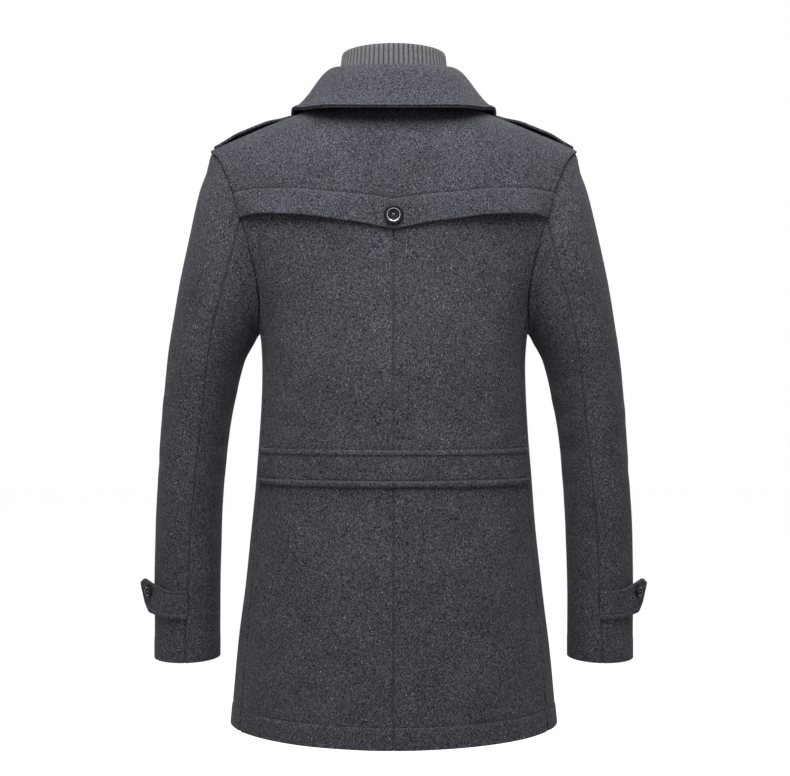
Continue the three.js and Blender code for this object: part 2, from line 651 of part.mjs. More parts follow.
// The storm flap: the backs' own points, moved out, with its free edge lifted a little.
function yoke() {
  const columns = 2 * BACK_COLUMNS - 1;
  const rows = BACK_TOP_ROWS.length;
  return wall(columns, rows, (i, j) => {
    const column = Math.abs(i - (BACK_COLUMNS - 1));
    const side = Math.sign(i - (BACK_COLUMNS - 1)) || 1;
    const point = backPoint(column, YOKE_FIRST_ROW + j);
    const normal = formNormal(point);
    const share = PANEL_SHARES[column];
    if (column === BACK_COLUMNS - 1) {
      const inside = backPoint(column - 1, YOKE_FIRST_ROW + j).sub(point).normalize();
      point.addScaledVector(inside, YOKE_SIDE_INSET);
    }
    if (j === rows - 1) {
      const below = backPoint(column, YOKE_FIRST_ROW + j - 1).sub(point).normalize();
      point.addScaledVector(below, column <= NECK_COLUMN ? YOKE_NECK_INSET : YOKE_SIDE_INSET);
    }
    const lifted = j === 0 ? YOKE_LIFT * smooth(share, 0.15, 0.6) * (1 - smooth(share, 0.85, 1)) : 0;
    const inner = point.clone().addScaledVector(normal, OVERLAY_GAP + lifted);
    const outer = inner.clone().addScaledVector(normal, YOKE_THICK);
    return { out: mirrorX(outer, side), in: mirrorX(inner, side) };
  });
}

// The half belt: the backs' points between two rows, moved out, thicker along both edges.
function belt() {
  const height = BELT_TOP_Z - BELT_BOTTOM_Z;
  const lowRow = LEVEL_ROWS.indexOf(BELT_BOTTOM_Z);
  const steps = [
    { share: 0, rise: 0 },
    { share: 0.3 * BELT_WELT / height, rise: BELT_WELT_RISE },
    { share: 0.8 * BELT_WELT / height, rise: BELT_WELT_RISE },
    { share: BELT_WELT / height, rise: 0 },
    { share: 1 - BELT_WELT / height, rise: 0 },
    { share: 1 - 0.8 * BELT_WELT / height, rise: BELT_WELT_RISE },
    { share: 1 - 0.3 * BELT_WELT / height, rise: BELT_WELT_RISE },
    { share: 1, rise: 0 },
  ];
  const columns = 2 * BACK_COLUMNS - 1;
  return wall(columns, steps.length, (i, j) => {
    const column = Math.abs(i - (BACK_COLUMNS - 1));
    const side = Math.sign(i - (BACK_COLUMNS - 1)) || 1;
    const { share, rise } = steps[j];
    const low = backPoint(column, lowRow);
    const point = low.clone().lerp(backPoint(column, lowRow + 1), share);
    const normal = formNormal(low).lerp(formNormal(backPoint(column, lowRow + 1)), share).normalize();
    if (column === BACK_COLUMNS - 1) {
      const inside = backPoint(column - 1, lowRow).sub(low).normalize();
      point.addScaledVector(inside, BELT_INSET);
    }
    const inner = point.clone().addScaledVector(normal, OVERLAY_GAP);
    const outer = inner.clone().addScaledVector(normal, BELT_THICK + rise);
    return { out: mirrorX(outer, side), in: mirrorX(inner, side) };
  });
}

// Where the neck seam runs, by the angle round the neck from the centre back.
function neckSeam(angle) {
  const face = Math.abs(angle) <= 90 ? 'back' : 'front';
  const x = NECK_HALF * Math.sin(radians(angle));
  const z = neckSeamAt(x, face);
  return vec(x, formY(x, z, face), z);
}

const foldHeightAt = lineThrough(COLLAR_PATH, 'angle', 'foldZ');
const edgeAt = {
  x: lineThrough(COLLAR_PATH, 'angle', 'edgeX'),
  y: lineThrough(COLLAR_PATH, 'angle', 'edgeY'),
  z: lineThrough(COLLAR_PATH, 'angle', 'edgeZ'),
};

// The collar's fold line and the level direction away from the neck there.
function fold(angle) {
  const turn = radians(angle);
  const depth = Math.cos(turn) > 0 ? FOLD_BACK_Y : -FOLD_FRONT_Y;
  const point = vec(FOLD_HALF * Math.sin(turn), depth * Math.cos(turn), foldHeightAt(Math.abs(angle)));
  const away = vec(Math.sin(turn) / FOLD_HALF, Math.cos(turn) / depth, 0).normalize();
  return { point, away };
}

// The collar's section: the roll inside the fold, then a curve of four control points to the edge.
const ROLL = [
  { away: -4.5, up: -11 },
  { away: -4.5, up: -4 },
  { away: -2.8, up: -0.8 },
];
const FALL_STEPS = [0, 0.16, 0.36, 0.6, 0.82, 1];

function collarPoint(angle, row) {
  const { point, away } = fold(angle);
  if (row < ROLL.length) {
    return point.clone().addScaledVector(away, ROLL[row].away).add(vec(0, 0, ROLL[row].up));
  }
  const sign = Math.sign(angle) || 1;
  const at = Math.abs(angle);
  const edge = vec(sign * edgeAt.x(at), edgeAt.y(at), edgeAt.z(at));
  const near = point.clone().addScaledVector(away, LEAF_OUT).add(vec(0, 0, -LEAF_DROP));
  const far = edge.clone().lerp(point, LEAF_BEND).setZ(edge.z + LEAF_FLARE * (point.z - edge.z));
  const curve = new THREE.CubicBezierCurve3(point, near, far, edge);
  return curve.getPoint(FALL_STEPS[row - ROLL.length]);
}

function collarNormal(angle, row) {
  const rows = ROLL.length + FALL_STEPS.length;
  const across = collarPoint(angle + 0.5, row).sub(collarPoint(angle - 0.5, row));
  const down = collarPoint(angle, Math.min(row + 1, rows - 1)).sub(collarPoint(angle, Math.max(row - 1, 0)));
  return across.cross(down).normalize();
}

function collarFall() {
  const rows = ROLL.length + FALL_STEPS.length;
  return wall(COLLAR_STEPS + 1, rows, (i, j) => {
    const angle = FOLD_END_ANGLE * (2 * i / COLLAR_STEPS - 1);
    const outer = collarPoint(angle, j);
    const inner = outer.clone().addScaledVector(collarNormal(angle, j), -COLLAR_THICK);
    return { out: outer, in: inner };
  });
}

// The stand's neck side and its outward direction: from the neck seam to the end of the fall's roll.
function standPoint(angle, share) {
  const { away } = fold(angle);
  const low = neckSeam(angle).addScaledVector(away, -STAND_THICK - 1).add(vec(0, 0, 1));
  const rollEnd = collarPoint(angle, 0);
  const onward = collarPoint(angle, 1).sub(rollEnd).normalize();
  const high = rollEnd.clone().addScaledVector(onward, -SEAM);
  const outward = away.clone().lerp(collarNormal(angle, 0).negate(), share).normalize();
  return { point: low.lerp(high, share), away: outward };
}

function collarStand() {
  const shares = [0, 0.5, 1];
  return wall(COLLAR_STEPS + 1, shares.length, (i, j) => {
    const angle = FOLD_END_ANGLE * (2 * i / COLLAR_STEPS - 1);
    const { point, away } = standPoint(angle, shares[j]);
    return { out: point.clone().addScaledVector(away, STAND_THICK), in: point };
  });
}

// The knit collar: a plain inside and two points to each rib outside.
function knitCollar() {
  const shares = [0, 0.35, 0.7, 1];
  const columns = 2 * KNIT_RIBS + 1;
  return wall(columns, shares.length, (i, j) => {
    const angle = KNIT_END_ANGLE * (2 * i / (columns - 1) - 1);
    const turn = radians(angle);
    const { away } = fold(angle);
    const foot = standPoint(angle, 0.12).point;
    const start = foot.clone().addScaledVector(away, -KNIT_RIB_RISE - KNIT_GAP - KNIT_THICK);
    const depth = Math.cos(turn) > 0 ? KNIT_TOP_BACK_Y : -KNIT_TOP_FRONT_Y;
    const drop = KNIT_FRONT_DROP * smooth(Math.abs(angle), 95, 180);
    const top = vec(KNIT_TOP_HALF * Math.sin(turn), depth * Math.cos(turn), KNIT_TOP_Z - drop);
    top.addScaledVector(away, -KNIT_RIB_RISE - KNIT_THICK);
    const upright = top.clone().addScaledVector(away, 1.5).setZ(start.z + 0.55 * (top.z - start.z));
    const inner = new THREE.QuadraticBezierCurve3(start, upright, top).getPoint(shares[j]);
    const rise = KNIT_THICK + (i % 2 ? KNIT_RIB_RISE : 0);
    return { out: inner.clone().addScaledVector(away, rise), in: inner };
  });
}

// An epaulette: a strap over the shoulder seam, pointed towards the neck.
const EPAULETTE_STATIONS = [0, 0.06, 0.14, 0.35, 0.6, 0.85, 1];
const EPAULETTE_ACROSS = [-1, -0.5, 0, 0.5, 1];

function epaulettePoint(share, across) {
  const tipShape = Math.min(share / EPAULETTE_STATIONS[2], 1);
  const halfWidth = EPAULETTE_HALF_WIDTH * (0.8 + 0.2 * share) * (0.35 + 0.65 * tipShape);
  const reach = EPAULETTE_POINT * (1 - Math.abs(across)) * (1 - tipShape);
  const base = EPAULETTE_BASE_X - EPAULETTE_BASE_BOW * across ** 2;
  const x = EPAULETTE_TIP_X - reach + (base - EPAULETTE_TIP_X) * share;
  const y = SHOULDER_Y + across * halfWidth;
  return surfaceUnder(x, y);
}

// The point of the shoulder surface above a place on the floor, found by halving.
function surfaceUnder(x, y) {
  const face = y >= SHOULDER_Y ? 'back' : 'front';
  const ridge = ridgeAt(x);
  let low = BLADE_Z;
  let high = ridge;
  for (let i = 0; i < 40; i += 1) {
    const middle = (low + high) / 2;
    if (Math.abs(formY(x, middle, face) - SHOULDER_Y) > Math.abs(y - SHOULDER_Y)) low = middle;
    else high = middle;
  }
  return vec(x, y, low);
}

function epaulette(side) {
  return wall(EPAULETTE_STATIONS.length, EPAULETTE_ACROSS.length, (i, j) => {
    const point = epaulettePoint(EPAULETTE_STATIONS[i], EPAULETTE_ACROSS[j]);
    const normal = formNormal(point);
    const inner = point.clone().addScaledVector(normal, EPAULETTE_LIFT);
    const outer = inner.clone().addScaledVector(normal, EPAULETTE_THICK);
    return { out: mirrorX(outer, side), in: mirrorX(inner, side) };
  });
}

// A point of the left sleeve's surface at a height near the cuff and an angle round it.
function cuffPoint(z, angle) {
  const rows = SLEEVE_SECTIONS.filter((section) => section.outerZ <= -600);
  const widthAt = lineThrough(rows, 'outerZ', 'innerX');
  const outerAt = lineThrough(rows, 'outerZ', 'outerX');
  const depth = lineThrough(rows, 'outerZ', 'halfDepth');
  const middle = lineThrough(rows, 'outerZ', 'midY');
  const section = {
    innerX: widthAt(z), innerZ: z, outerX: outerAt(z), outerZ: z, halfDepth: depth(z), midY: middle(z),
  };
  const point = sleevePoint(section, angle);
  const normal = vec(
    Math.cos(angle) / (section.outerX - section.innerX) * 2, Math.sin(angle) / section.halfDepth, 0,
  ).normalize();
  return { point, normal };
}

// The line of a cuff tab: round the sleeve from the back seam, then off it on a wide arc to its free end.
function tabLine(distance, z) {
  const start = radians(TAB_START_ANGLE);
  const leave = radians(TAB_LEAVE_ANGLE);
  if (distance <= 0) return cuffPoint(z, start + (leave - start) * (1 + distance));
  const { point, normal } = cuffPoint(z, leave);
  const onward = vec(normal.y, -normal.x, 0);
  const bend = radians(TAB_CURL);
  const turn = bend * distance;
  point.addScaledVector(onward, Math.sin(turn) / bend).addScaledVector(normal, (Math.cos(turn) - 1) / bend);
  return { point, normal: normal.multiplyScalar(Math.cos(turn)).addScaledVector(onward, Math.sin(turn)) };
}

// A cuff tab: a strap with its corners cut off at the free end.
const TAB_STATIONS = [-0.98, -0.65, -0.33, 0, 0.27 * TAB_FREE, 0.54 * TAB_FREE, TAB_FREE - TAB_CORNER, TAB_FREE];
const TAB_ACROSS = [-1, 0, 1];

function cuffTab(side) {
  return wall(TAB_STATIONS.length, TAB_ACROSS.length, (i, j) => {
    const free = Math.max(TAB_STATIONS[i], 0) / TAB_FREE;
    const corner = i === TAB_STATIONS.length - 1 ? TAB_CORNER : 0;
    const half = TAB_HALF_HEIGHT + (TAB_END_HALF_HEIGHT - TAB_HALF_HEIGHT) * free - corner;
    const z = TAB_MIDDLE_Z + TAB_ACROSS[j] * half + TAB_RISE * free;
    const { point, normal } = tabLine(TAB_STATIONS[i] + TAB_SKEW * TAB_ACROSS[j] * free, z);
    const inner = point.clone().addScaledVector(normal, TAB_STAND_OFF);
    const outer = inner.clone().addScaledVector(normal, TAB_THICK);
    return { out: mirrorX(outer, side), in: mirrorX(inner, side) };
  });
}

// A sewn-on button: a disc with a raised rim and a dished face.
function button(radius, thick) {
  const profile = [
    [0, 0], [radius * 0.86, 0], [radius, thick * 0.5],
    [radius * 0.84, thick], [radius * 0.62, thick * 0.55], [0, thick * 0.55],
  ];
  const geometry = new THREE.LatheGeometry(profile.map(([r, h]) => new THREE.Vector2(r, h)), BUTTON_SIDES);
  geometry.deleteAttribute('uv');
  geometry.rotateX(Math.PI / 2);
  return geometry;
}

const coat = new THREE.Group();

function add(name, geometry, finish) {
  const mesh = new THREE.Mesh(geometry, new THREE.MeshStandardMaterial(finish));
  mesh.name = name;
  coat.add(mesh);
  return mesh;
}

// Sets a button on a surface: its back a little off the cloth, its face along the normal.
function addButton(name, place, normal, radius, thick, lift) {
  const mesh = add(name, button(radius, thick), HORN);
  mesh.quaternion.setFromUnitVectors(vec(0, 0, 1), normal);
  mesh.position.copy(place.clone().addScaledVector(normal, lift));
}

for (const [name, side] of [['left', 1], ['right', -1]]) {
  add(`back_${name}`, back(side), WOOL);
  add(`front_${name}`, front(side), WOOL);
  add(`sleeve_upper_${name}`, sleeveHalf(side, FRONT_SEAM_VERTEX, BACK_SEAM_VERTEX), WOOL);
  add(`sleeve_under_${name}`, sleeveHalf(side, BACK_SEAM_VERTEX, FRONT_SEAM_VERTEX), WOOL);
  add(`epaulette_${name}`, epaulette(side), WOOL);
  add(`cuff_tab_${name}`, cuffTab(side), WOOL);
}
add('back_yoke', yoke(), WOOL);
add('back_belt', belt(), WOOL);
add('collar_fall', collarFall(), WOOL);
add('collar_stand', collarStand(), WOOL);
add('knit_collar', knitCollar(), KNIT);

const yokeButtonPlace = vec(0, formY(0, YOKE_BUTTON_Z, 'back'), YOKE_BUTTON_Z);
addButton('button_yoke', yokeButtonPlace, formNormal(yokeButtonPlace), BUTTON_RADIUS, BUTTON_THICK,
  OVERLAY_GAP + YOKE_THICK + SEAM);

const tabButton = tabLine(TAB_BUTTON_PLACE, TAB_MIDDLE_Z + TAB_BUTTON_RISE);
for (const [name, side] of [['left', 1], ['right', -1]]) {
  addButton(`button_cuff_${name}`, mirrorX(tabButton.point, side), mirrorX(tabButton.normal, side),
    SMALL_BUTTON_RADIUS, SMALL_BUTTON_THICK, TAB_STAND_OFF + TAB_THICK + SEAM);
}

FRONT_BUTTON_HEIGHTS.forEach((z, i) => {
  const place = vec(0, formY(0, z, 'front'), z);
  addButton(`button_front_${i + 1}`, place, formNormal(place), BUTTON_RADIUS, BUTTON_THICK, FRONT_LAYER + SEAM);
});

export default coat;
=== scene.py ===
import bpy
import numpy as np
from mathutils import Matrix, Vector


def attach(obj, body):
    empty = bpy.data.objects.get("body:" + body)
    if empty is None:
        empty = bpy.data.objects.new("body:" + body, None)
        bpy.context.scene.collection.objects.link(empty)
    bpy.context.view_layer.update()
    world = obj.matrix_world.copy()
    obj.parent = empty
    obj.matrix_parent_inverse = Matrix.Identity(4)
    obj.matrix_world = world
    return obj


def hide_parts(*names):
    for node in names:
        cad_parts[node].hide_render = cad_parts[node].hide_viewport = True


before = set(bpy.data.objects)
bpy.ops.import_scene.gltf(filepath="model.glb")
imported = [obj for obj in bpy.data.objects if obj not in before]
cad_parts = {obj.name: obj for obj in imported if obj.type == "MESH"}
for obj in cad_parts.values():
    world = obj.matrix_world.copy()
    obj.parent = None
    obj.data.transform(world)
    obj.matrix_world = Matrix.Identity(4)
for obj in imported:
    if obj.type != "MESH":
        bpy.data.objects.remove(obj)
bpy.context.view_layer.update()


# The camera stands level behind the coat, 1.7 m from it. The floor is a wide pale disc where the wearer's feet
# would be. The light is that of a white room: soft from all sides, stronger from above and behind the camera.
CAMERA_PLACE = Vector((-0.0016, 1.7, -0.361))
CAMERA_LENS = 61.5
FLOOR_Z = -1.5
FLOOR_RADIUS = 14.0
FLOOR_SIDES = 96
ROOM_LIGHT = 1.0
AIM = Vector((0, 0, -0.2))
# Name, place, size in metres and power in watts
LAMPS = (
    ("top_light", (0.05, 0.75, 0.75), 1.0, 60),
    ("side_light", (0.9, 2.4, 1.2), 1.4, 10),
    ("front_light", (-0.9, -2.2, 1.4), 1.8, 40),
)


def node(tree, kind, inputs=None, **settings):
    """Adds a node, sets its own settings, and links or fills its inputs."""
    made = tree.nodes.new(kind)
    for key, value in settings.items():
        setattr(made, key, value)
    for socket, value in (inputs or {}).items():
        if isinstance(value, bpy.types.NodeSocket):
            tree.links.new(value, made.inputs[socket])
        else:
            made.inputs[socket].default_value = value
    return made


def new_material(name):
    """An empty material with its shader and output, and the object's own coordinates."""
    material = bpy.data.materials.new(name)
    material.use_nodes = True
    tree = material.node_tree
    tree.nodes.clear()
    shader = node(tree, "ShaderNodeBsdfPrincipled")
    node(tree, "ShaderNodeOutputMaterial", {"Surface": shader.outputs["BSDF"]})
    place = node(tree, "ShaderNodeTexCoord").outputs["Object"]
    return material, tree, shader, place


def shades(tree, strength, dark, light, start=0.0, end=1.0):
    """A colour that runs from dark to light as the strength rises from start to end."""
    ramp = node(tree, "ShaderNodeValToRGB", {"Fac": strength})
    for stop, position, colour in zip(ramp.color_ramp.elements, (start, end), (dark, light)):
        stop.position, stop.color = position, (*colour, 1)
    return ramp.outputs["Color"]


def mottled(name, scale, detail, dark, light):
    """A material of two shades mixed by a noise, with that noise's strength."""
    material, tree, shader, place = new_material(name)
    noise = node(tree, "ShaderNodeTexNoise", {"Vector": place, "Scale": scale, "Detail": detail}).outputs["Fac"]
    tree.links.new(shades(tree, noise, dark, light), shader.inputs["Base Color"])
    return material, tree, shader, noise


def finish(shader, values):
    """Sets the shader's own sockets."""
    for socket, value in values.items():
        shader.inputs[socket].default_value = value


floor_paint, _, shader, _ = mottled("floor_paint", 3.0, 4.0, (0.99, 0.99, 0.995), (1, 1, 1))
finish(shader, {"Roughness": 0.8})

camera = bpy.data.objects.new("camera", bpy.data.cameras.new("camera"))
camera.data.lens = CAMERA_LENS
camera.location = CAMERA_PLACE
camera.rotation_euler = Vector((0, -1, 0)).to_track_quat("-Z", "Y").to_euler()
bpy.context.scene.collection.objects.link(camera)
bpy.context.scene.camera = camera

room = bpy.data.worlds.new("room")
room.use_nodes = True
room.node_tree.nodes["Background"].inputs["Color"].default_value = (1, 1, 1, 1)
room.node_tree.nodes["Background"].inputs["Strength"].default_value = ROOM_LIGHT
bpy.context.scene.world = room
bpy.context.scene.view_settings.view_transform = "Standard"

for lamp_name, lamp_place, lamp_size, lamp_power in LAMPS:
    lamp = bpy.data.objects.new(lamp_name, bpy.data.lights.new(lamp_name, "AREA"))
    lamp.data.shape = "DISK"
    lamp.data.size = lamp_size
    lamp.data.energy = lamp_power
    lamp.location = lamp_place
    lamp.rotation_euler = (AIM - Vector(lamp_place)).to_track_quat("-Z", "Y").to_euler()
    bpy.context.scene.collection.objects.link(lamp)

turn = np.linspace(0, 2 * np.pi, FLOOR_SIDES, endpoint=False)
rim = np.stack([FLOOR_RADIUS * np.cos(turn), FLOOR_RADIUS * np.sin(turn), np.full(FLOOR_SIDES, FLOOR_Z)], axis=1)
floor_mesh = bpy.data.meshes.new("floor")
floor_mesh.from_pydata(rim.tolist(), [], [list(range(FLOOR_SIDES))])
floor = bpy.data.objects.new("floor", floor_mesh)
floor.data.materials.append(floor_paint)
bpy.context.scene.collection.objects.link(floor)


# The two backs: charcoal melange coating wool, cut from hem to shoulder and joined by a seam down the centre.
# The hem is turned up and caught by a line of stitches. All shapes here are worked out in millimetres, on the
# same rounded form as the solids, and put into the meshes in metres.
MM = 0.001
CLOTH = 2.5
SEAM = 0.3
SHOULDER_Y = -5
SHOULDER_HALF = 230
SHOULDER_SLOPE = 0.4
NECK_HALF = 78
NECK_SIDE_Z = -6
NECK_BACK_Z = -22
NECK_FRONT_Z = -85
BLADE_Z = -190
HEM_Z = -778
BACK_ROUND = 2.6
FRONT_ROUND = 1.5
SIDE_SEAM_DEPTH = 0.387
SIDE_SEAM_ANGLE = 144.6
FINE = 0.5
COARSE = 4.4
HEM_STITCH = 25
SEAM_DIP = 1.7
SEAM_DIP_WIDTH = 1.4
TOPSTITCH_ASIDE = 7
HEM_DIP = 1.1
HEM_DIP_WIDTH = 1.5
HEM_RISE = 0.7
SIDES = (("left", 1), ("right", -1))

# Height, half width, depth behind and before, and how square the level section is
BODY = np.array([
    (-778, 204.5, 150, 152, 1.95),
    (-716, 198.5, 145, 146, 2.0),
    (-603, 185.5, 134, 134, 2.15),
    (-490, 173.5, 124, 126, 2.3),
    (-414, 168, 122, 126, 2.4),
    (-338, 164.5, 124, 129, 2.4),
    (-300, 166.8, 122, 129, 2.4),
    (-262, 176.5, 119, 127, 2.4),
    (-220, 201, 116, 124, 2.4),
    (-190, 220, 115, 122, 2.4),
    (-160, 232, 115, 121, 2.4),
    (-120, 239, 115, 120, 2.4),
    (-67, 246, 116, 119, 2.4),
    (20, 252, 116, 118, 2.4),
])
# Height, and the armhole seam's distance from the centre behind and before
ARM_EDGE = np.array([
    (-190, 175, 175.9),
    (-175, 178.5, 178.8),
    (-158, 184, 182.6),
    (-137, 189.5, 187.5),
    (-110, 199.5, 196.5),
    (-82, 214, 214),
    (-67, 230, 230),
])
ARM_MIDDLE_Z = -179.5
ARM_HALF_Z = 112.5
ARM_BACK_Y = 80
ARM_FRONT_Y = 85

# Soft creases of the backs: where each starts and ends (across, up), its depth (a ridge below 0) and its width
BACK_CREASES = (
    ((158, -215), (150, -345), 1.7, 11),
    ((138, -222), (136, -330), -1.0, 12),
    ((160, -300), (96, -352), 0.8, 9),
    ((166, -388), (92, -418), 1.1, 8),
    ((164, -364), (118, -392), -0.7, 9),
    ((40, -398), (130, -426), 0.6, 9),
    ((60, -236), (112, -330), 0.6, 20),
    ((118, -500), (150, -742), 1.3, 17),
    ((66, -520), (92, -750), -1.1, 20),
    ((28, -560), (44, -760), 0.8, 16),
    ((160, -500), (122, -532), 0.8, 8),
    ((96, -616), (150, -650), 0.5, 12),
)


def smooth_line(places, values):
    """A cubic line through the rows. Its slope at a row is the harmonic mean of the slopes beside it, or level
    where they differ in sign, so it never overshoots. Values may be numbers or whole arrays of points."""
    t = np.asarray(places, float)
    f = np.asarray(values, float)
    wide = (-1,) + (1,) * (f.ndim - 1)
    slope = np.diff(f, axis=0) / np.diff(t).reshape(wide)
    before, after = slope[:-1], slope[1:]
    total = np.where(before + after == 0, 1, before + after)
    inner = np.where(before * after > 0, 2 * before * after / total, 0)
    tangent = np.concatenate([slope[:1], inner, slope[-1:]])

    def at(value):
        value = np.clip(np.asarray(value, float), t[0], t[-1])
        i = np.clip(np.searchsorted(t, value, side="right") - 1, 0, len(t) - 2)
        shape = value.shape + (1,) * (f.ndim - 1)
        span = (t[i + 1] - t[i]).reshape(shape)
        s = (value - t[i]).reshape(shape) / span
        start = (1 + 2 * s) * (1 - s) ** 2 * f[i] + s * (1 - s) ** 2 * span * tangent[i]
        return start + s * s * (3 - 2 * s) * f[i + 1] + s * s * (s - 1) * span * tangent[i + 1]

    return at


half_at, back_at, front_at, square_at = (smooth_line(BODY[:, 0], BODY[:, k]) for k in range(1, 5))
arm_back_at, arm_front_at = (smooth_line(ARM_EDGE[:, 0], ARM_EDGE[:, k]) for k in (1, 2))


def ease(value, start, end):
    """0 up to start, 1 from end on, and a smooth rise between."""
    s = np.clip((value - start) / (end - start), 0, 1)
    return s * s * (3 - 2 * s)


def section_share(share, z):
    """What is left of a level section's width at a share of its depth: (1 - share^n)^(1/n)."""
    square = square_at(z)
    return np.maximum(1 - np.abs(share) ** square, 0) ** (1 / square)


def ridge_at(x):
    """Height of the shoulder ridge: a straight slope outside the neck, its smooth continuation inside it."""
    across = np.abs(x)
    inside = NECK_SIDE_Z + SHOULDER_SLOPE * NECK_HALF / 2 * (1 - (across / NECK_HALF) ** 2)
    return np.where(across >= NECK_HALF, NECK_SIDE_Z - SHOULDER_SLOPE * (across - NECK_HALF), inside)


def neck_seam_at(x, face):
    """Height of the neck seam: a power of the distance from the centre, between its middle and its sides."""
    share = np.minimum(np.abs(x) / NECK_HALF, 1)
    if face > 0:
        return NECK_BACK_Z + (NECK_SIDE_Z - NECK_BACK_Z) * share ** 3
    return NECK_FRONT_Z + (NECK_SIDE_Z - NECK_FRONT_Z) * share ** 2.6


def form_y(x, z, face):
    """Depth of the body form behind (face 1) or before (face -1): a rounded level section, drawn in above the
    blades to the shoulder ridge along a superellipse."""
    depth = back_at(z) if face > 0 else front_at(z)
    power = BACK_ROUND if face > 0 else FRONT_ROUND
    full = face * depth * section_share(np.minimum(np.abs(x) / half_at(z), 1), z)
    rise = np.clip((z - BLADE_Z) / (ridge_at(x) - BLADE_Z), 0, 1)
    drawn = SHOULDER_Y + (full - SHOULDER_Y) * (1 - rise ** power) ** (1 / power)
    return np.where(z <= BLADE_Z, full, drawn)


def form_normal(points):
    """Outward direction of the body form: the slope of its level function, which is 0 on the form."""
    x, y, z = np.moveaxis(points, -1, 0)
    behind = y >= np.where(z > BLADE_Z, SHOULDER_Y, 0)
    power = np.where(behind, BACK_ROUND, FRONT_ROUND)

    def level(px, py, pz):
        depth = np.where(behind, back_at(pz), front_at(pz))
        across = np.abs(px) / half_at(pz)
        low = across ** square_at(pz) + (np.abs(py) / depth) ** square_at(pz) - 1
        full = np.where(behind, 1, -1) * depth * np.maximum(section_share(across, pz), 0.001)
        rise = np.maximum((pz - BLADE_Z) / (ridge_at(px) - BLADE_Z), 0)
        high = np.abs((py - SHOULDER_Y) / (full - SHOULDER_Y)) ** power + rise ** power - 1
        return np.where(pz <= BLADE_Z, low, high)

    step = 0.02
    slope = [level(x + a, y + b, z + c) - level(x - a, y - b, z - c)
             for a, b, c in ((step, 0, 0), (0, step, 0), (0, 0, step))]
    normal = np.stack(slope, axis=-1)
    return normal / np.linalg.norm(normal, axis=-1, keepdims=True)


def armhole(angle):
    """Points of the left armhole: angle 0 at the shoulder tip, 90 behind, 180 under the arm, 270 in front."""
    angle = np.mod(angle, 360)
    z = ARM_MIDDLE_Z + ARM_HALF_Z * np.cos(np.radians(angle))
    behind = angle <= 180
    y_low = np.where(behind, ARM_BACK_Y, ARM_FRONT_Y) * np.sin(np.radians(angle))
    x_low = half_at(z) * section_share(y_low / np.where(behind, back_at(z), front_at(z)), z)
    x_high = np.where(behind, arm_back_at(z), arm_front_at(z))
    y_high = np.where(behind, form_y(x_high, z, 1), form_y(x_high, z, -1))
    near_tip = ease(np.minimum(angle, 360 - angle), 0, 14)
    y_high = SHOULDER_Y + (y_high - SHOULDER_Y) * near_tip
    return np.stack([np.where(z >= BLADE_Z, x_high, x_low), np.where(z >= BLADE_Z, y_high, y_low), z], axis=-1)


def arm_edge_x(z, face):
    """Distance of the armhole seam from the centre at a height below the blades."""
    angle = np.degrees(np.arccos(np.clip((z - ARM_MIDDLE_Z) / ARM_HALF_Z, -1, 1)))
    return armhole(angle if face > 0 else 360 - angle)[..., 0]


def steps(length, first, most, both=True):
    """Places along a length: close together at its start, and at its end where both is true, each step a third
    longer than the one before until it reaches the full step."""
    reach = np.concatenate([[0], np.cumsum(np.minimum(first * 1.35 ** np.arange(400), most))])
    if both:
        reach = reach[reach < length / 2 - most / 3]
        return np.concatenate([reach, (length - reach)[::-1]])
    return np.concatenate([reach[reach < length - most / 3], [length]])


def with_lines(places, lines, reach=3.2):
    """Puts close rows around each line, in place of the rows that lie there."""
    close = reach * np.array([-1, -0.6, -0.3, 0, 0.3, 0.6, 1])
    for line in lines:
        places = places[np.abs(places - line) > reach * 1.3]
        places = np.sort(np.concatenate([places, line + close]))
    return places


def groove(distance, depth, width):
    """A rounded valley along a line: a bell curve of the distance from it."""
    return -depth * np.exp(-(distance / width) ** 2)


def seam_dip(distance):
    """The dip of the cloth beside a seam."""
    return groove(distance, SEAM_DIP, SEAM_DIP_WIDTH)


def turned_hem(z):
    """The hem's second layer and the valley of its stitch line."""
    fold = HEM_RISE * (1 - ease(z - HEM_Z, HEM_STITCH - 6, HEM_STITCH + 3))
    return groove(z - HEM_Z - HEM_STITCH, HEM_DIP, HEM_DIP_WIDTH) + fold


def creases(x, z, rows):
    """Soft troughs and ridges: a bell curve across each straight line, fading out at both of its ends."""
    total = np.zeros(np.broadcast(x, z).shape)
    for start, end, depth, width in rows:
        run = np.subtract(end, start)
        length = np.hypot(*run)
        along = ((x - start[0]) * run[0] + (z - start[1]) * run[1]) / length ** 2
        aside = ((x - start[0]) * -run[1] + (z - start[1]) * run[0]) / length
        fade = np.clip(1 - (2 * along - 1) ** 2, 0, 1)
        total += groove(aside, depth, width) * fade * fade
    return total


def drift(x, z, seed):
    """Slow unevenness of pressed cloth: the sum of four crossing waves, 90 to 210 mm long."""
    return (0.42 * np.sin(x / 31 + z / 57 + seed) + 0.36 * np.sin(x / 19 - z / 43 + 2.1 * seed)
            + 0.3 * np.sin(z / 26 + 1.7 * seed) + 0.26 * np.sin(x / 14.5 + z / 15.5 + 0.6 * seed))


def part_edge(part, face):
    """Distance of the armhole seam from the centre on a row above the blades, found by repeated halving in."""
    power = BACK_ROUND if face > 0 else FRONT_ROUND
    arm_at = arm_back_at if face > 0 else arm_front_at
    x = np.full(np.shape(part), 190.0)
    for _ in range(60):
        z = BLADE_Z + (ridge_at(x) - BLADE_Z) * np.sin(np.pi / 2 * part) ** (2 / power)
        x = 0.5 * x + 0.5 * arm_at(z)
    return x


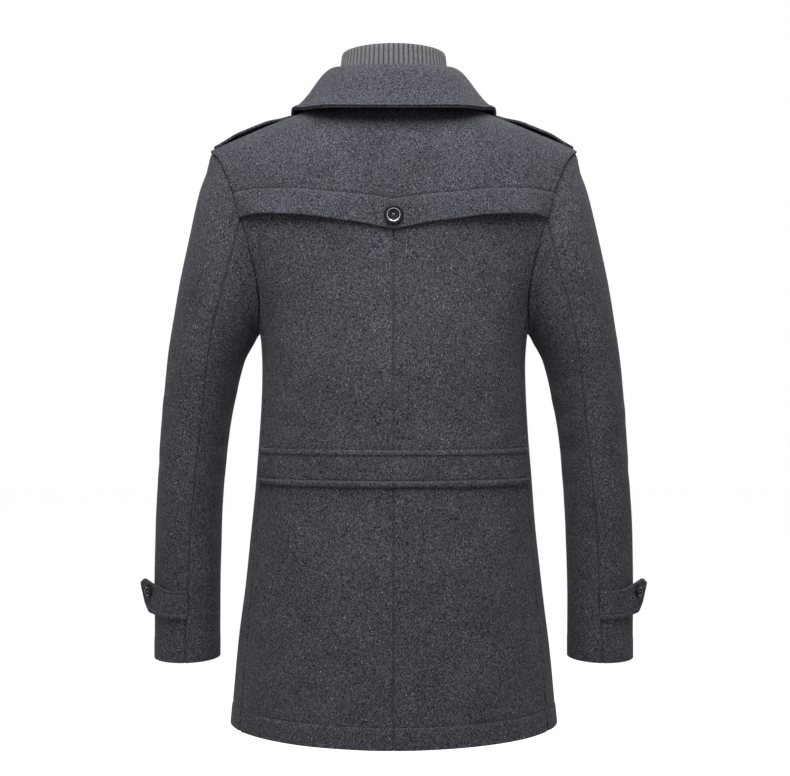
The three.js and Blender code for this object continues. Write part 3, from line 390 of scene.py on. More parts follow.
def top_rows(share, part, face):
    """Rows above the blades: the height rises with the sine of an even angle up to the neck or shoulder seam."""
    power = BACK_ROUND if face > 0 else FRONT_ROUND
    x = share[None, :] * part_edge(part, face)[:, None]
    ridge = ridge_at(x)
    top = np.where(np.abs(x) < NECK_HALF, neck_seam_at(x, face), ridge)
    last = np.arcsin(np.minimum((top - BLADE_Z) / (ridge - BLADE_Z), 1) ** (power / 2))
    z = BLADE_Z + (ridge - BLADE_Z) * np.sin(last * part[:, None]) ** (2 / power)
    return x, z


def cloth(name, base, normal, relief, thick, material, edge=((0.5, 0.1),), keep=None, uv=None):
    """A closed wall of cloth: the outer side is base + relief along normal, the inner side lies thick under base.
    Each (depth, out) of edge is a line of the rim's section: a share of the thickness down and so far out."""
    rows, columns = base.shape[:2]
    count = rows * columns
    outer = base + normal * relief[..., None]
    inner = base - normal * np.broadcast_to(thick, base.shape[:2])[..., None]
    a = (np.arange(rows - 1)[:, None] * columns + np.arange(columns - 1)).reshape(-1)
    if keep is not None:
        a = a[keep.reshape(-1)]
    quads = np.stack([a, a + 1, a + columns + 1, a + columns], axis=1)
    flat_base, flat_normal = base.reshape(-1, 3), normal.reshape(-1, 3)
    facing = np.cross(flat_base[quads[:, 1]] - flat_base[quads[:, 0]], flat_base[quads[:, 3]] - flat_base[quads[:, 0]])
    if np.einsum("ij,ij->i", facing, flat_normal[quads[:, 0]]).sum() < 0:
        quads = quads[:, ::-1]
    sides = np.concatenate([quads[:, [k, (k + 1) % 4]] for k in range(4)])
    key = np.minimum(sides[:, 0], sides[:, 1]) * count + np.maximum(sides[:, 0], sides[:, 1])
    _, first, seen = np.unique(key, return_index=True, return_counts=True)
    border = sides[first[seen == 1]]
    run = flat_base[border[:, 1]] - flat_base[border[:, 0]]
    away = np.cross(run, flat_normal[border[:, 0]])
    outward = np.zeros((count, 3))
    np.add.at(outward, border[:, 0], away)
    np.add.at(outward, border[:, 1], away)
    on_border = np.unique(border)
    outward = outward[on_border]
    outward /= np.maximum(np.linalg.norm(outward, axis=1, keepdims=True), 1e-9)
    place_of = np.zeros(count, int)
    place_of[on_border] = np.arange(len(on_border))
    flat_outer, flat_inner = outer.reshape(-1, 3), inner.reshape(-1, 3)
    rims = [flat_outer[on_border] * (1 - depth) + flat_inner[on_border] * depth + outward * out for depth, out in edge]
    vertices = np.concatenate([flat_outer, flat_inner, *rims])
    rings = [border] + [2 * count + k * len(on_border) + place_of[border] for k in range(len(edge))] + [border + count]
    strips = [np.stack([up[:, 1], up[:, 0], down[:, 0], down[:, 1]], axis=1) for up, down in zip(rings, rings[1:])]
    faces = np.concatenate([quads, quads[:, ::-1] + count, *strips])
    used, faces = np.unique(faces, return_inverse=True)
    faces = faces.reshape(-1, 4)
    mesh = bpy.data.meshes.new(name)
    mesh.from_pydata((vertices[used] * MM).tolist(), [], faces.tolist())
    if uv is not None:
        spread = uv.reshape(-1, 2)
        spread = np.concatenate([spread, spread] + [spread[on_border]] * len(edge))[used]
        layer = mesh.uv_layers.new(name="weave")
        layer.data.foreach_set("uv", spread[faces.reshape(-1)].astype(np.float32).reshape(-1))
    return finished(name, mesh, [material]), outer


def finished(name, mesh, materials):
    """Turns a mesh into a smooth piece of the coat that rides on its one body."""
    mesh.polygons.foreach_set("use_smooth", [True] * len(mesh.polygons))
    for material in materials:
        mesh.materials.append(material)
    made = bpy.data.objects.new(name, mesh)
    bpy.context.scene.collection.objects.link(made)
    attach(made, "root")
    return made


def on_side(side, *grids):
    """The grids as they are on the wearer's left, and mirrored on the right."""
    return [grid * np.array([side, 1, 1]) for grid in grids]


def stand_for(made, solid):
    """Hides the solid that the piece stands in for."""
    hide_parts(solid)


def melange(name, dark, light, fleck, cloud=0.16):
    """Milled wool coating: grey yarns of mixed depth, sparse pale fibres, slow cloudiness and a short raised nap."""
    material, tree, shader, place = new_material(name)
    yarn = node(tree, "ShaderNodeTexNoise", {"Vector": place, "Scale": 560.0, "Detail": 3.0, "Roughness": 0.72})
    shade = shades(tree, yarn.outputs["Fac"], dark, light, 0.38, 0.64)
    slant = node(tree, "ShaderNodeMapping", {"Vector": place, "Rotation": (0.5, 0.6, 0.4), "Scale": (1, 1, 0.35)})
    fibre = node(tree, "ShaderNodeTexNoise", {"Vector": slant.outputs["Vector"], "Scale": 980.0, "Detail": 1.0})
    fibre_mask = node(tree, "ShaderNodeMapRange", {"Value": fibre.outputs["Fac"], "From Min": 0.66, "From Max": 0.8})
    flecked = node(tree, "ShaderNodeMix", {"Factor": fibre_mask.outputs["Result"], "A": shade, "B": (*fleck, 1)},
                   data_type="RGBA")
    slow = node(tree, "ShaderNodeTexNoise", {"Vector": place, "Scale": 21.0, "Detail": 3.0, "Roughness": 0.6})
    depth = node(tree, "ShaderNodeMapRange", {"Value": slow.outputs["Fac"], "From Min": 0.25, "From Max": 0.75,
                                              "To Min": 1 - cloud, "To Max": 1 + cloud})
    clouded = node(tree, "ShaderNodeVectorMath", {0: flecked.outputs["Result"]}, operation="SCALE")
    tree.links.new(depth.outputs["Result"], clouded.inputs["Scale"])
    tree.links.new(clouded.outputs["Vector"], shader.inputs["Base Color"])
    nap = node(tree, "ShaderNodeTexNoise", {"Vector": place, "Scale": 760.0, "Detail": 4.0, "Roughness": 0.7})
    hair = node(tree, "ShaderNodeTexNoise", {"Vector": slant.outputs["Vector"], "Scale": 1900.0, "Detail": 2.0})
    heap = node(tree, "ShaderNodeMath", {0: nap.outputs["Fac"], 1: hair.outputs["Fac"]}, operation="ADD")
    raised = node(tree, "ShaderNodeBump", {"Height": heap.outputs["Value"], "Strength": 0.55, "Distance": 0.0007})
    tree.links.new(raised.outputs["Normal"], shader.inputs["Normal"])
    finish(shader, {"Roughness": 0.92, "Specular IOR Level": 0.04, "Sheen Weight": 0.025, "Sheen Roughness": 0.45,
                    "Sheen Tint": (0.86, 0.88, 0.95, 1)})
    return material


wool = melange("charcoal_melange_wool", (0.0034, 0.0034, 0.0042), (0.0372, 0.0374, 0.0452), (0.13, 0.13, 0.148))


# Spun polyester thread, faintly banded by its twist
thread, _, shader, _ = mottled("sewing_thread", 3200.0, 1.0, (0.018, 0.018, 0.022), (0.06, 0.062, 0.072))
finish(shader, {"Roughness": 0.55})


def stitches(name, lines, pitch=3.6, length=2.9, radius=0.28):
    """Lock stitches along lines of (points, directions out of the cloth): short threads, thick in the middle,
    whose ends dip into the cloth."""
    along = np.linspace(-1, 1, 5)
    around = np.linspace(0, 2 * np.pi, 6, endpoint=False)
    thick = radius * np.sqrt(1 - 0.85 * along ** 2)
    rise = radius * (0.35 - 1.3 * along ** 4)
    groups = []
    for points, out in lines:
        run = np.concatenate([[0], np.cumsum(np.linalg.norm(np.diff(points, axis=0), axis=1))])
        middle = np.arange(pitch / 2, run[-1] - pitch / 2, pitch)
        at = lambda places, rows: np.stack([np.interp(places, run, rows[:, k]) for k in range(3)], axis=1)
        place, normal = at(middle, points), at(middle, out)
        ahead = at(middle + 0.6, points) - at(middle - 0.6, points)
        ahead /= np.linalg.norm(ahead, axis=1, keepdims=True)
        aside = np.cross(normal, ahead)
        height = rise[:, None] + thick[:, None] * np.cos(around)
        width = thick[:, None] * np.sin(around)
        groups.append(place[:, None, None] + ahead[:, None, None] * (along * length / 2)[None, :, None, None]
                      + normal[:, None, None] * height[None, ..., None] + aside[:, None, None] * width[None, ..., None])
    points = np.concatenate(groups)
    count, rings, ring_sides = points.shape[:3]
    start = (np.arange(count) * rings * ring_sides)[:, None, None]
    ring = (np.arange(rings - 1) * ring_sides)[None, :, None]
    side = np.arange(ring_sides)[None, None, :]
    after = (side + 1) % ring_sides
    quads = np.stack([start + ring + side, start + ring + after, start + ring + ring_sides + after,
                      start + ring + ring_sides + side], axis=-1).reshape(-1, 4)
    first = start[:, 0] + np.arange(ring_sides)[::-1]
    last = start[:, 0] + (rings - 1) * ring_sides + np.arange(ring_sides)
    mesh = bpy.data.meshes.new(name)
    mesh.from_pydata((points.reshape(-1, 3) * MM).tolist(), [], quads.tolist() + first.tolist() + last.tolist())
    made = finished(name, mesh, [thread])
    return made


def back_grid():
    """A back as a grid: level rows from the hem to the blades, then rows that follow the slope of the shoulder."""
    share = (SEAM / 2 + steps(200 - SEAM, FINE, COARSE)) / 200
    z = HEM_Z + with_lines(steps(BLADE_Z - HEM_Z, FINE, COARSE, both=False), [HEM_STITCH])
    seam_top = armhole(SIDE_SEAM_ANGLE)[2]
    edge = np.where(z <= seam_top, half_at(z) * section_share(SIDE_SEAM_DEPTH, z), arm_edge_x(z, 1))
    low_x = share[None, :] * edge[:, None]
    low_z = np.broadcast_to(z[:, None], low_x.shape)
    high_x, high_z = top_rows(share, steps(1, 0.03, 0.04)[1:], 1)
    x, z = np.concatenate([low_x, high_x]), np.concatenate([low_z, high_z])
    y = np.maximum(form_y(x, z, 1), np.where(z > BLADE_Z, SHOULDER_Y + SEAM / 2, 0))
    return np.stack([x, y, z], axis=-1), share


def back_relief(x, z, share, side):
    """The dips at the seams and the stitch lines, the folded hem's thickness, the creases and the drift."""
    edge = x.max(axis=1, keepdims=True)
    calm = ease(x, 2, 26) * ease((1 - share) * edge, 0, 16)
    uneven = 0.6 * drift(x, z, 1.0 if side > 0 else 3.7)
    total = (creases(x, z, BACK_CREASES) * (1 if side > 0 else 0.8) + uneven) * calm
    total += seam_dip(x) - groove(x - 4.2, 0.3, 2.6)
    total += seam_dip((1 - share) * edge) - groove((1 - share) * edge - 4.2, 0.35, 2.6)
    if side > 0:
        total += groove(x - TOPSTITCH_ASIDE, 0.35, 1.1)
    return total + turned_hem(z)


back_base, back_share = back_grid()
back_normal = form_normal(back_base)
hem_row = int(np.argmin(np.abs(back_base[:, 0, 2] - HEM_Z - HEM_STITCH)))
for side_name, side in SIDES:
    lift = back_relief(back_base[..., 0], back_base[..., 2], back_share[None, :], side)
    base, normal = on_side(side, back_base, back_normal)
    back, outer = cloth(f"{side_name}_back", base, normal, lift, CLOTH, wool, edge=((0.3, SEAM / 2), (0.7, SEAM / 2)))
    sewn = stitches(f"{side_name}_back_hem_stitches", [(outer[hem_row], normal[hem_row])])
    stand_for(back, f"back_{side_name}")


# The two fronts: the same wool from the side seam under the arm to the front edge, the wearer's left lapping
# over the right by 25 mm. The edges are faced with their own cloth and topstitched, and the hem is turned up.
FRONT_OVERLAP = 25
FRONT_LAYER = 1.55
LAYER_FULL = 32
LAYER_END = 72
FRONT_CORNER_ANGLE = 225
UNDERARM_Z = -345
EDGE_STITCH = 6
FRONT_CREASES = (
    ((156, -214), (150, -340), 1.5, 11),
    ((136, -226), (132, -320), -0.8, 12),
    ((150, -120), (92, -176), 0.9, 13),
    ((160, -318), (98, -366), 0.7, 9),
    ((160, -400), (84, -432), 1.0, 9),
    ((158, -372), (112, -398), -0.6, 9),
    ((120, -510), (146, -746), 1.2, 17),
    ((70, -500), (88, -752), -1.0, 19),
    ((62, -170), (84, -300), 0.6, 18),
    ((40, -560), (48, -756), 0.7, 14),
)


def front_grid():
    """A front as a grid from the side seam to past the centre. Under the arm its columns keep their share of the
    depth and end on the armhole, and further on they keep their share of the width up to the shoulder."""
    ring = armhole(SIDE_SEAM_ANGLE + (FRONT_CORNER_ANGLE - SIDE_SEAM_ANGLE)
                   * (0.1 + steps(135, FINE, COARSE, both=False)[:-1]) / 135)
    corner = armhole(FRONT_CORNER_ANGLE)
    level = HEM_Z + with_lines(steps(UNDERARM_Z - HEM_Z, FINE, COARSE, both=False), [HEM_STITCH])
    last = steps(corner[2] - UNDERARM_Z, FINE, COARSE)[1:] / (corner[2] - UNDERARM_Z)
    behind = ring[:, 1] >= 0
    depth_share = ring[:, 1] / np.where(behind, back_at(ring[:, 2]), front_at(ring[:, 2]))
    ring_z = np.concatenate([ring[:, 2], [corner[2]]])
    row_z = np.concatenate([np.broadcast_to(level[:, None], (len(level), len(ring_z))),
                            UNDERARM_Z + (ring_z - UNDERARM_Z)[None, :] * last[:, None]])
    under_z = row_z[:, :-1]
    under_x = half_at(under_z) * section_share(depth_share, under_z)
    under_y = depth_share * np.where(behind, back_at(under_z), front_at(under_z))

    share = 1 - steps(165, FINE, COARSE, both=False) / 165
    past = steps(FRONT_OVERLAP, FINE, COARSE)[1:]
    low_z = row_z[:, -1]
    arm_z = corner[2] + steps(BLADE_Z - corner[2], 1.0, COARSE, both=False)[1:]
    part = steps(1, 0.03, 0.04)[1:]
    edge = np.concatenate([half_at(low_z) * corner[0] / half_at(corner[2]), arm_edge_x(arm_z, -1)])
    high_x, high_z = top_rows(share, part, -1)
    high_edge = part_edge(part, -1)
    past_x, past_z = top_rows(past / SHOULDER_HALF, part, -1)
    main_x = np.concatenate([share[None, :] * edge[:, None], high_x])
    main_z = np.concatenate([np.broadcast_to(np.concatenate([low_z, arm_z])[:, None], (len(edge), len(share))), high_z])
    over_x = np.broadcast_to(-past[None, :], (len(main_x), len(past)))
    over_z = np.concatenate([np.broadcast_to(np.concatenate([low_z, arm_z])[:, None], (len(edge), len(past))), past_z])
    x, z = np.concatenate([main_x, over_x], axis=1), np.concatenate([main_z, over_z], axis=1)
    y = np.minimum(form_y(x, z, -1), np.where(z > BLADE_Z, SHOULDER_Y - SEAM / 2, 0))
    main = np.stack([x, y, z], axis=-1)
    under = np.stack([under_x, under_y, under_z], axis=-1)
    rows, missing = len(main), len(main) - len(under)
    filled = np.concatenate([under, np.broadcast_to(under[-1:], (missing, *under.shape[1:]))])
    grid = np.concatenate([filled, main], axis=1)
    keep = np.ones((rows - 1, grid.shape[1] - 1), bool)
    keep[len(under) - 1:, :len(depth_share)] = False
    arm_edge = np.concatenate([edge, high_edge])
    return grid, keep, len(under) - 1, len(depth_share), arm_edge


front_base, front_keep, corner_row, corner_column, front_edge = front_grid()
front_normal = form_normal(front_base)
ring_height = front_base[corner_row, :corner_column, 2]


def front_relief(x, z, side):
    """The dips at the side, armhole and shoulder seams, the faced front edge, the folded hem and the creases."""
    rows, columns = x.shape
    to_arm = np.full(x.shape, 99.0)
    to_arm[:, corner_column:] = np.maximum(front_edge[:, None] - x[:, corner_column:], 0) + np.maximum(
        front_base[corner_row, corner_column, 2] - z[:, corner_column:], 0)
    to_arm[:corner_row + 1, :corner_column] = ring_height - z[:corner_row + 1, :corner_column]
    aside = np.linalg.norm(front_base - front_base[:, :1], axis=-1)
    to_side = np.where(np.arange(rows)[:, None] <= corner_row, aside, 99.0)
    to_front = x + FRONT_OVERLAP
    calm = ease(to_arm, 0, 16) * ease(to_side, 0, 16) * ease(to_front, 10, 60)
    uneven = 0.6 * drift(x + 40, z, 5.2 if side > 0 else 8.1)
    total = (creases(x, z, FRONT_CREASES) * (0.85 if side > 0 else 1) + uneven) * calm
    total += seam_dip(to_arm) + seam_dip(to_side)
    total += 0.6 * (1 - ease(to_front, EDGE_STITCH - 2, EDGE_STITCH + 2)) + groove(to_front - EDGE_STITCH, 0.5, 1.3)
    return total + turned_hem(z)


front_hem_row = int(np.argmin(np.abs(front_base[:corner_row, -1, 2] - HEM_Z - HEM_STITCH)))
front_stitch_column = int(np.argmin(np.abs(front_base[0, :, 0] + FRONT_OVERLAP - EDGE_STITCH)))
for side_name, side in SIDES:
    layer = side * FRONT_LAYER * (1 - ease(front_base[..., 0], LAYER_FULL, LAYER_END))
    lift = front_relief(front_base[..., 0], front_base[..., 2], side)
    base, normal = on_side(side, front_base + front_normal * layer[..., None], front_normal)
    front, outer = cloth(f"{side_name}_front", base, normal, lift, CLOTH, wool, keep=front_keep)
    sewn = stitches(f"{side_name}_front_stitches", [
        (outer[front_hem_row], normal[front_hem_row]),
        (outer[front_hem_row:-14, front_stitch_column], normal[front_hem_row:-14, front_stitch_column]),
    ])
    stand_for(front, f"front_{side_name}")


# The half belt: two layers of the wool across the waist, welted along both edges by a row of stitches 7 mm in
# and caught in the side seams. It lies on the backs.
BELT_TOP_Z = -434
BELT_BOTTOM_Z = -477
BELT_WELT = 7
BELT_THICK = 2.4
BELT_INSET = 1.5
OVERLAY_GAP = 0.45


def belt_grid():
    """Level rows on the back's form, moved out. Each column is a share of the width between the side seams."""
    share = steps(320, FINE, COARSE)
    share = 2 * share / 320 - 1
    height = BELT_TOP_Z - BELT_BOTTOM_Z
    up = with_lines(steps(height, 0.4, 3.0), [BELT_WELT, height - BELT_WELT], reach=2.0)
    z = BELT_BOTTOM_Z + up
    edge = half_at(z) * section_share(SIDE_SEAM_DEPTH, z) - BELT_INSET
    x = share[None, :] * edge[:, None]
    z = np.broadcast_to(z[:, None], x.shape)
    return np.stack([x, form_y(x, z, 1), z], axis=-1), up, height


belt_base, belt_up, belt_height = belt_grid()
belt_normal = form_normal(belt_base)
to_welt = np.minimum(belt_up, belt_height - belt_up)
welt = 1.5 * (1 - ease(to_welt, BELT_WELT - 2.2, BELT_WELT + 0.4)) * ease(to_welt, -1.5, 2.5)
belt_lift = np.broadcast_to((welt + groove(to_welt - BELT_WELT, 0.9, 1.1))[:, None], belt_base.shape[:2])
belt_lift = belt_lift + 0.35 * drift(belt_base[..., 0], 3 * belt_base[..., 2], 6.0)
belt_out = belt_base + belt_normal * (OVERLAY_GAP + BELT_THICK)
belt, belt_outer = cloth("half_belt", belt_out, belt_normal, belt_lift, BELT_THICK, wool,
                         edge=((0.15, 0.3), (0.85, 0.3)))
welt_rows = [int(np.argmin(np.abs(belt_up - line))) for line in (BELT_WELT, belt_height - BELT_WELT)]
belt_sewn = stitches("half_belt_stitches", [(belt_outer[row], belt_normal[row]) for row in welt_rows])
stand_for(belt, "back_belt")


# The storm flap: one layer of wool over the shoulder blades, sewn in at the neck, shoulder and armhole seams.
# Its lower edge hangs free, dips to a shallow point at the middle and is turned up and stitched.
FLAP_EDGE = np.array([(0, -174), (25, -169), (47, -165), (77, -161), (108, -157), (160, -154), (190, -157)])
FLAP_THICK = 2.6
FLAP_SIDE_INSET = 1.2
FLAP_NECK_INSET = 7
FLAP_LIFT = 7.5
FLAP_TURN_UP = 31.5
FLAP_TURN_UP_MIDDLE = 3
FLAP_RISE = 165
FLAP_CREASES = (
    ((196, -92), (150, -128), 0.8, 10),
    ((-200, -96), (-140, -120), 0.7, 11),
    ((60, -60), (40, -118), 0.5, 18),
    ((-90, -66), (-60, -130), 0.5, 20),
    ((176, -120), (120, -132), -0.5, 10),
    ((-172, -116), (-112, -134), -0.5, 11),
)
flap_edge_at = smooth_line(FLAP_EDGE[:, 0], FLAP_EDGE[:, 1])


def flap_points(share, way):
    """Points of the flap's form and how far each has climbed along the cloth: shares of the width across, and
    shares of the way from the free edge to the neck and shoulder seams up, following the shoulder's slope."""
    edge = np.full(way.shape, 190.0)
    for _ in range(60):
        ridge = ridge_at(edge)
        first = np.arcsin(((flap_edge_at(edge) - BLADE_Z) / (ridge - BLADE_Z)) ** (BACK_ROUND / 2))
        angle = first + (np.pi / 2 - first) * way
        edge = 0.5 * edge + 0.5 * arm_back_at(BLADE_Z + (ridge - BLADE_Z) * np.sin(angle) ** (2 / BACK_ROUND))
    x = share[None, :] * (edge - FLAP_SIDE_INSET)
    ridge = ridge_at(x)
    top = np.where(np.abs(x) < NECK_HALF, neck_seam_at(x, 1), ridge)
    turn_at = lambda z: np.arcsin(np.minimum((z - BLADE_Z) / (ridge - BLADE_Z), 1) ** (BACK_ROUND / 2))
    first, last = turn_at(flap_edge_at(np.abs(x))), turn_at(top)
    z = BLADE_Z + (ridge - BLADE_Z) * np.sin(first + (last - first) * way) ** (2 / BACK_ROUND)
    points = np.stack([x, np.maximum(form_y(x, z, 1), SHOULDER_Y + SEAM), z], axis=-1)
    step = np.linalg.norm(np.diff(points, axis=0), axis=-1)
    return points, np.concatenate([np.zeros((1, len(share))), np.cumsum(step, axis=0)])


def flap_grid():
    """Rows by their climb in millimetres, so that one of them is the line of the turned-up edge from end to end."""
    share = 2 * steps(460, FINE, COARSE) / 460 - 1
    even = np.broadcast_to(np.linspace(0, 1, 81)[:, None], (81, len(share)))
    rough, climbed = flap_points(share, even)
    turn_up = FLAP_TURN_UP + FLAP_TURN_UP_MIDDLE * np.exp(-(rough[0, :, 0] / 50) ** 2)
    row = with_lines(steps(FLAP_RISE, 0.4, COARSE), [FLAP_TURN_UP], reach=2.6)
    above = turn_up + (row[:, None] - FLAP_TURN_UP) * (climbed[-1] - turn_up) / (FLAP_RISE - FLAP_TURN_UP)
    climb = np.where(row[:, None] <= FLAP_TURN_UP, row[:, None] * turn_up / FLAP_TURN_UP, above)
    way = np.stack([np.interp(up, past, so_far) for up, past, so_far in zip(climb.T, climbed.T, even.T)], axis=1)
    return flap_points(share, way)[0], np.abs(share), climb, turn_up, int(np.argmin(np.abs(row - FLAP_TURN_UP)))


flap_base, flap_reach, flap_climb, turn_up, flap_row = flap_grid()
flap_normal = form_normal(flap_base)
flap_swing = FLAP_LIFT * (0.25 * ease(flap_reach, 0.05, 0.3) + 0.75 * ease(flap_reach, 0.3, 0.7))
flap_swing = (flap_swing * (1 - ease(flap_reach, 0.88, 1)))[None, :] * (1 - ease(flap_climb, 0, 34)) ** 1.5
flap_lift = groove(flap_climb - turn_up, 1.2, 1.5) + 1.3 * (1 - ease(flap_climb - turn_up, -5, 1.5))
flap_lift += creases(flap_base[..., 0], flap_base[..., 2], FLAP_CREASES)
flap_lift += 0.5 * drift(flap_base[..., 0], flap_base[..., 2], 2.4) * ease(flap_climb, 0, 40)
flap_lift += groove((1 - flap_reach) * 190, 0.5, 1.6)[None, :]
flap_out = flap_base + flap_normal * (OVERLAY_GAP + FLAP_THICK + flap_swing)[..., None]
flap, flap_outer = cloth("storm_flap", flap_out, flap_normal, flap_lift, FLAP_THICK, wool,
                         edge=((0.15, 0.4), (0.85, 0.4)))
flap_sewn = stitches("storm_flap_stitches", [(flap_outer[flap_row], flap_normal[flap_row])])
stand_for(flap, "back_yoke")


# The sleeves: each cut in two, an upper half over the outside of the arm and an under half beside the body, with
# a back seam that runs from the armhole to the cuff. They hang clear of the body and bend gently forwards.
# Inner line's x and z, outer line's x and z, half depth and middle y of each section from the armhole down
SLEEVE = np.array([
    (170.5, -295, 233, -86, 80, -2),
    (173, -299, 242, -112, 78.5, -1),
    (176, -305, 255, -165, 76.5, -1),
    (181, -313, 267.5, -222, 73.5, -3),
    (187.5, -325, 276.5, -272, 70, -5),
    (194, -345, 284, -318, 67, -8),
    (202.5, -380, 289.5, -365, 64.5, -12),
    (209.5, -420, 294.5, -414, 62.5, -16),
    (215, -470, 299, -468, 60.5, -20),
    (219.5, -535, 303, -534, 57, -23.5),
    (222, -610, 305, -610, 53.5, -26),
    (222.5, -656, 305, -656, 51.5, -27),
    (222.5, -703, 305, -703, 50, -27),
])
# The back seam's angle at the armhole and then at each section
BACK_SEAM_ANGLES = np.array([78.5, 99, 101, 101, 101, 102.5, 105, 108.5, 109.5, 108.5, 104.5, 102, 98, 95.4])
FRONT_SEAM_ANGLE = 253.2
SLEEVE_GIRTH = 400
SLEEVE_HEAD = 0.8
# Way round from the shoulder tip (mm, behind is above 0) and height of each crease's two ends
UPPER_CREASES = (
    ((96, -300), (20, -348), 1.1, 10),
    ((-96, -262), (-24, -330), 1.0, 11),
    ((92, -404), (8, -428), 1.2, 9),
    ((84, -446), (-20, -462), 0.9, 9),
    ((-90, -430), (-16, -470), 1.3, 10),
    ((-96, -486), (-10, -506), 0.9, 9),
    ((60, -372), (-10, -386), -0.7, 10),
    ((70, -560), (10, -620), 0.7, 14),
    ((30, -150), (66, -226), 0.8, 14),
    ((-36, -140), (-76, -232), 0.8, 15),
)
UNDER_CREASES = (
    ((112, -330), (190, -352), 1.5, 8),
    ((120, -372), (210, -398), 1.3, 9),
    ((110, -424), (220, -440), 1.4, 9),
    ((130, -462), (226, -486), 1.0, 9),
    ((140, -350), (230, -376), -0.9, 9),
    ((124, -540), (170, -640), 0.8, 14),
)


def sleeve_section(row, angle):
    """A slanted ellipse: across along the line from its inner to its outer point, and deep along y."""
    inner_x, inner_z, outer_x, outer_z, depth, middle = row
    across = np.cos(np.radians(angle))
    return np.stack([(outer_x + inner_x) / 2 + (outer_x - inner_x) / 2 * across,
                     middle + depth * np.sin(np.radians(angle)),
                     (outer_z + inner_z) / 2 + (outer_z - inner_z) / 2 * across], axis=-1)


def sleeve_grid(half_name):
    """Rings from the armhole seam to the cuff, joined by smooth lines, between the two seams. The back seam swings
    round the arm from ring to ring, and the lines of the grid swing with it."""
    if half_name == "upper":
        first, last = np.full(len(BACK_SEAM_ANGLES), FRONT_SEAM_ANGLE - 360), BACK_SEAM_ANGLES
    else:
        first, last = BACK_SEAM_ANGLES, np.full(len(BACK_SEAM_ANGLES), FRONT_SEAM_ANGLE)
    arc = SLEEVE_GIRTH * np.mean(last - first) / 360
    share = (SEAM / 2 + steps(arc - SEAM, FINE, COARSE)) / arc
    angle = first[:, None] + (last - first)[:, None] * share
    seam = armhole(angle[0])
    rings = np.stack([seam] + [sleeve_section(row, turned) for row, turned in zip(SLEEVE, angle[1:])])
    rings[0] += SEAM * (rings[1] - seam) / np.linalg.norm(rings[1] - seam, axis=-1, keepdims=True)
    way = np.concatenate([[0], np.cumsum(np.linalg.norm(np.diff(rings, axis=0), axis=-1).mean(axis=1))])
    down = steps(way[-1], FINE, COARSE)
    ring = np.interp(down, way, np.arange(len(rings)))
    number = np.arange(len(rings))
    return smooth_line(number, rings)(ring), smooth_line(number, angle)(ring), down, share * arc


def grid_normal(points, centre):
    """Directions out of a grid: the cross product of its two ways, turned away from the centre line."""
    normal = np.cross(np.gradient(points, axis=1), np.gradient(points, axis=0))
    normal /= np.maximum(np.linalg.norm(normal, axis=-1, keepdims=True), 1e-9)
    return normal * np.sign(np.sum(normal * (points - centre)))


for half_name, rows in (("upper", UPPER_CREASES), ("under", UNDER_CREASES)):
    sleeve_base, angle, down, across = sleeve_grid(half_name)
    sleeve_middle = np.stack([sleeve_section(row, np.array([0, 180])).mean(axis=0) for row in SLEEVE])
    middle = smooth_line(sleeve_middle[::-1, 2], sleeve_middle[::-1])(sleeve_base[..., 2].mean(axis=1))
    sleeve_normal = grid_normal(sleeve_base, middle[:, None])
    around = SLEEVE_GIRTH * angle / 360
    to_seam = np.minimum(across, across[-1] - across + across[0])[None, :] + 0 * around
    calm = ease(to_seam, 0, 14) * ease(down, 4, 30)[:, None] * ease(down[-1] - down, 6, 40)[:, None]
    for side_name, side in SIDES:
        lift = creases(around, sleeve_base[..., 2] + (0 if side > 0 else 9), rows) * (0.9 if side > 0 else 1.05)
        lift = (lift + 0.45 * drift(around * 1.3, sleeve_base[..., 2], 4.4 * side + len(rows))) * calm
        lift += seam_dip(to_seam) - groove(to_seam - 4.0, 0.4, 2.4)
        lift += seam_dip(down)[:, None] * ease(np.abs(angle), 8, 95)
        lift += SLEEVE_HEAD * np.cos(np.radians(np.clip(angle, -90, 90))) * (-groove(down - 9, 1, 7))[:, None]
        lift += 0.5 * (1 - ease(down[-1] - down, 20, 30))[:, None]
        base, normal = on_side(side, sleeve_base, sleeve_normal)
        sleeve, _ = cloth(f"{side_name}_{half_name}_sleeve", base, normal, lift, CLOTH, wool)
        stand_for(sleeve, f"sleeve_{half_name}_{side_name}")


# The epaulettes: two-layer straps along the shoulder ridge, caught in the armhole seam, pointed towards the neck
# and stitched 5 mm inside their edge. Their points lie under the collar.
EPAULETTE_HALF_WIDTH = 24
EPAULETTE_TIP_X = 118
EPAULETTE_BASE_X = 224
EPAULETTE_BASE_BOW = 5
EPAULETTE_POINT = 8
EPAULETTE_SHOULDER = 0.14
EPAULETTE_THICK = 2.7
EPAULETTE_LIFT = 3.5
EPAULETTE_STITCH = 5
EPAULETTE_STAND = 4


def surface_under(x, y):
    """Points of the shoulder above places on the floor, found by halving the height."""
    low, high = np.full(x.shape, float(BLADE_Z)), ridge_at(x) + 0 * y
    reach = np.abs(y - SHOULDER_Y)
    behind = y >= SHOULDER_Y
    for _ in range(40):
        middle = (low + high) / 2
        depth = np.where(behind, form_y(x, middle, 1), form_y(x, middle, -1))
        inside = np.abs(depth - SHOULDER_Y) > reach
        low, high = np.where(inside, middle, low), np.where(inside, high, middle)
    return np.stack([x, y, low], axis=-1)


def stitched_edge(to_edge, stitch):
    """A strap's rim: two layers high up to its stitch line, with the line's own valley."""
    return groove(to_edge - stitch, 0.5, 1.1) + 0.5 * (1 - ease(to_edge, stitch - 2, stitch + 1)) * ease(to_edge, -1, 2)


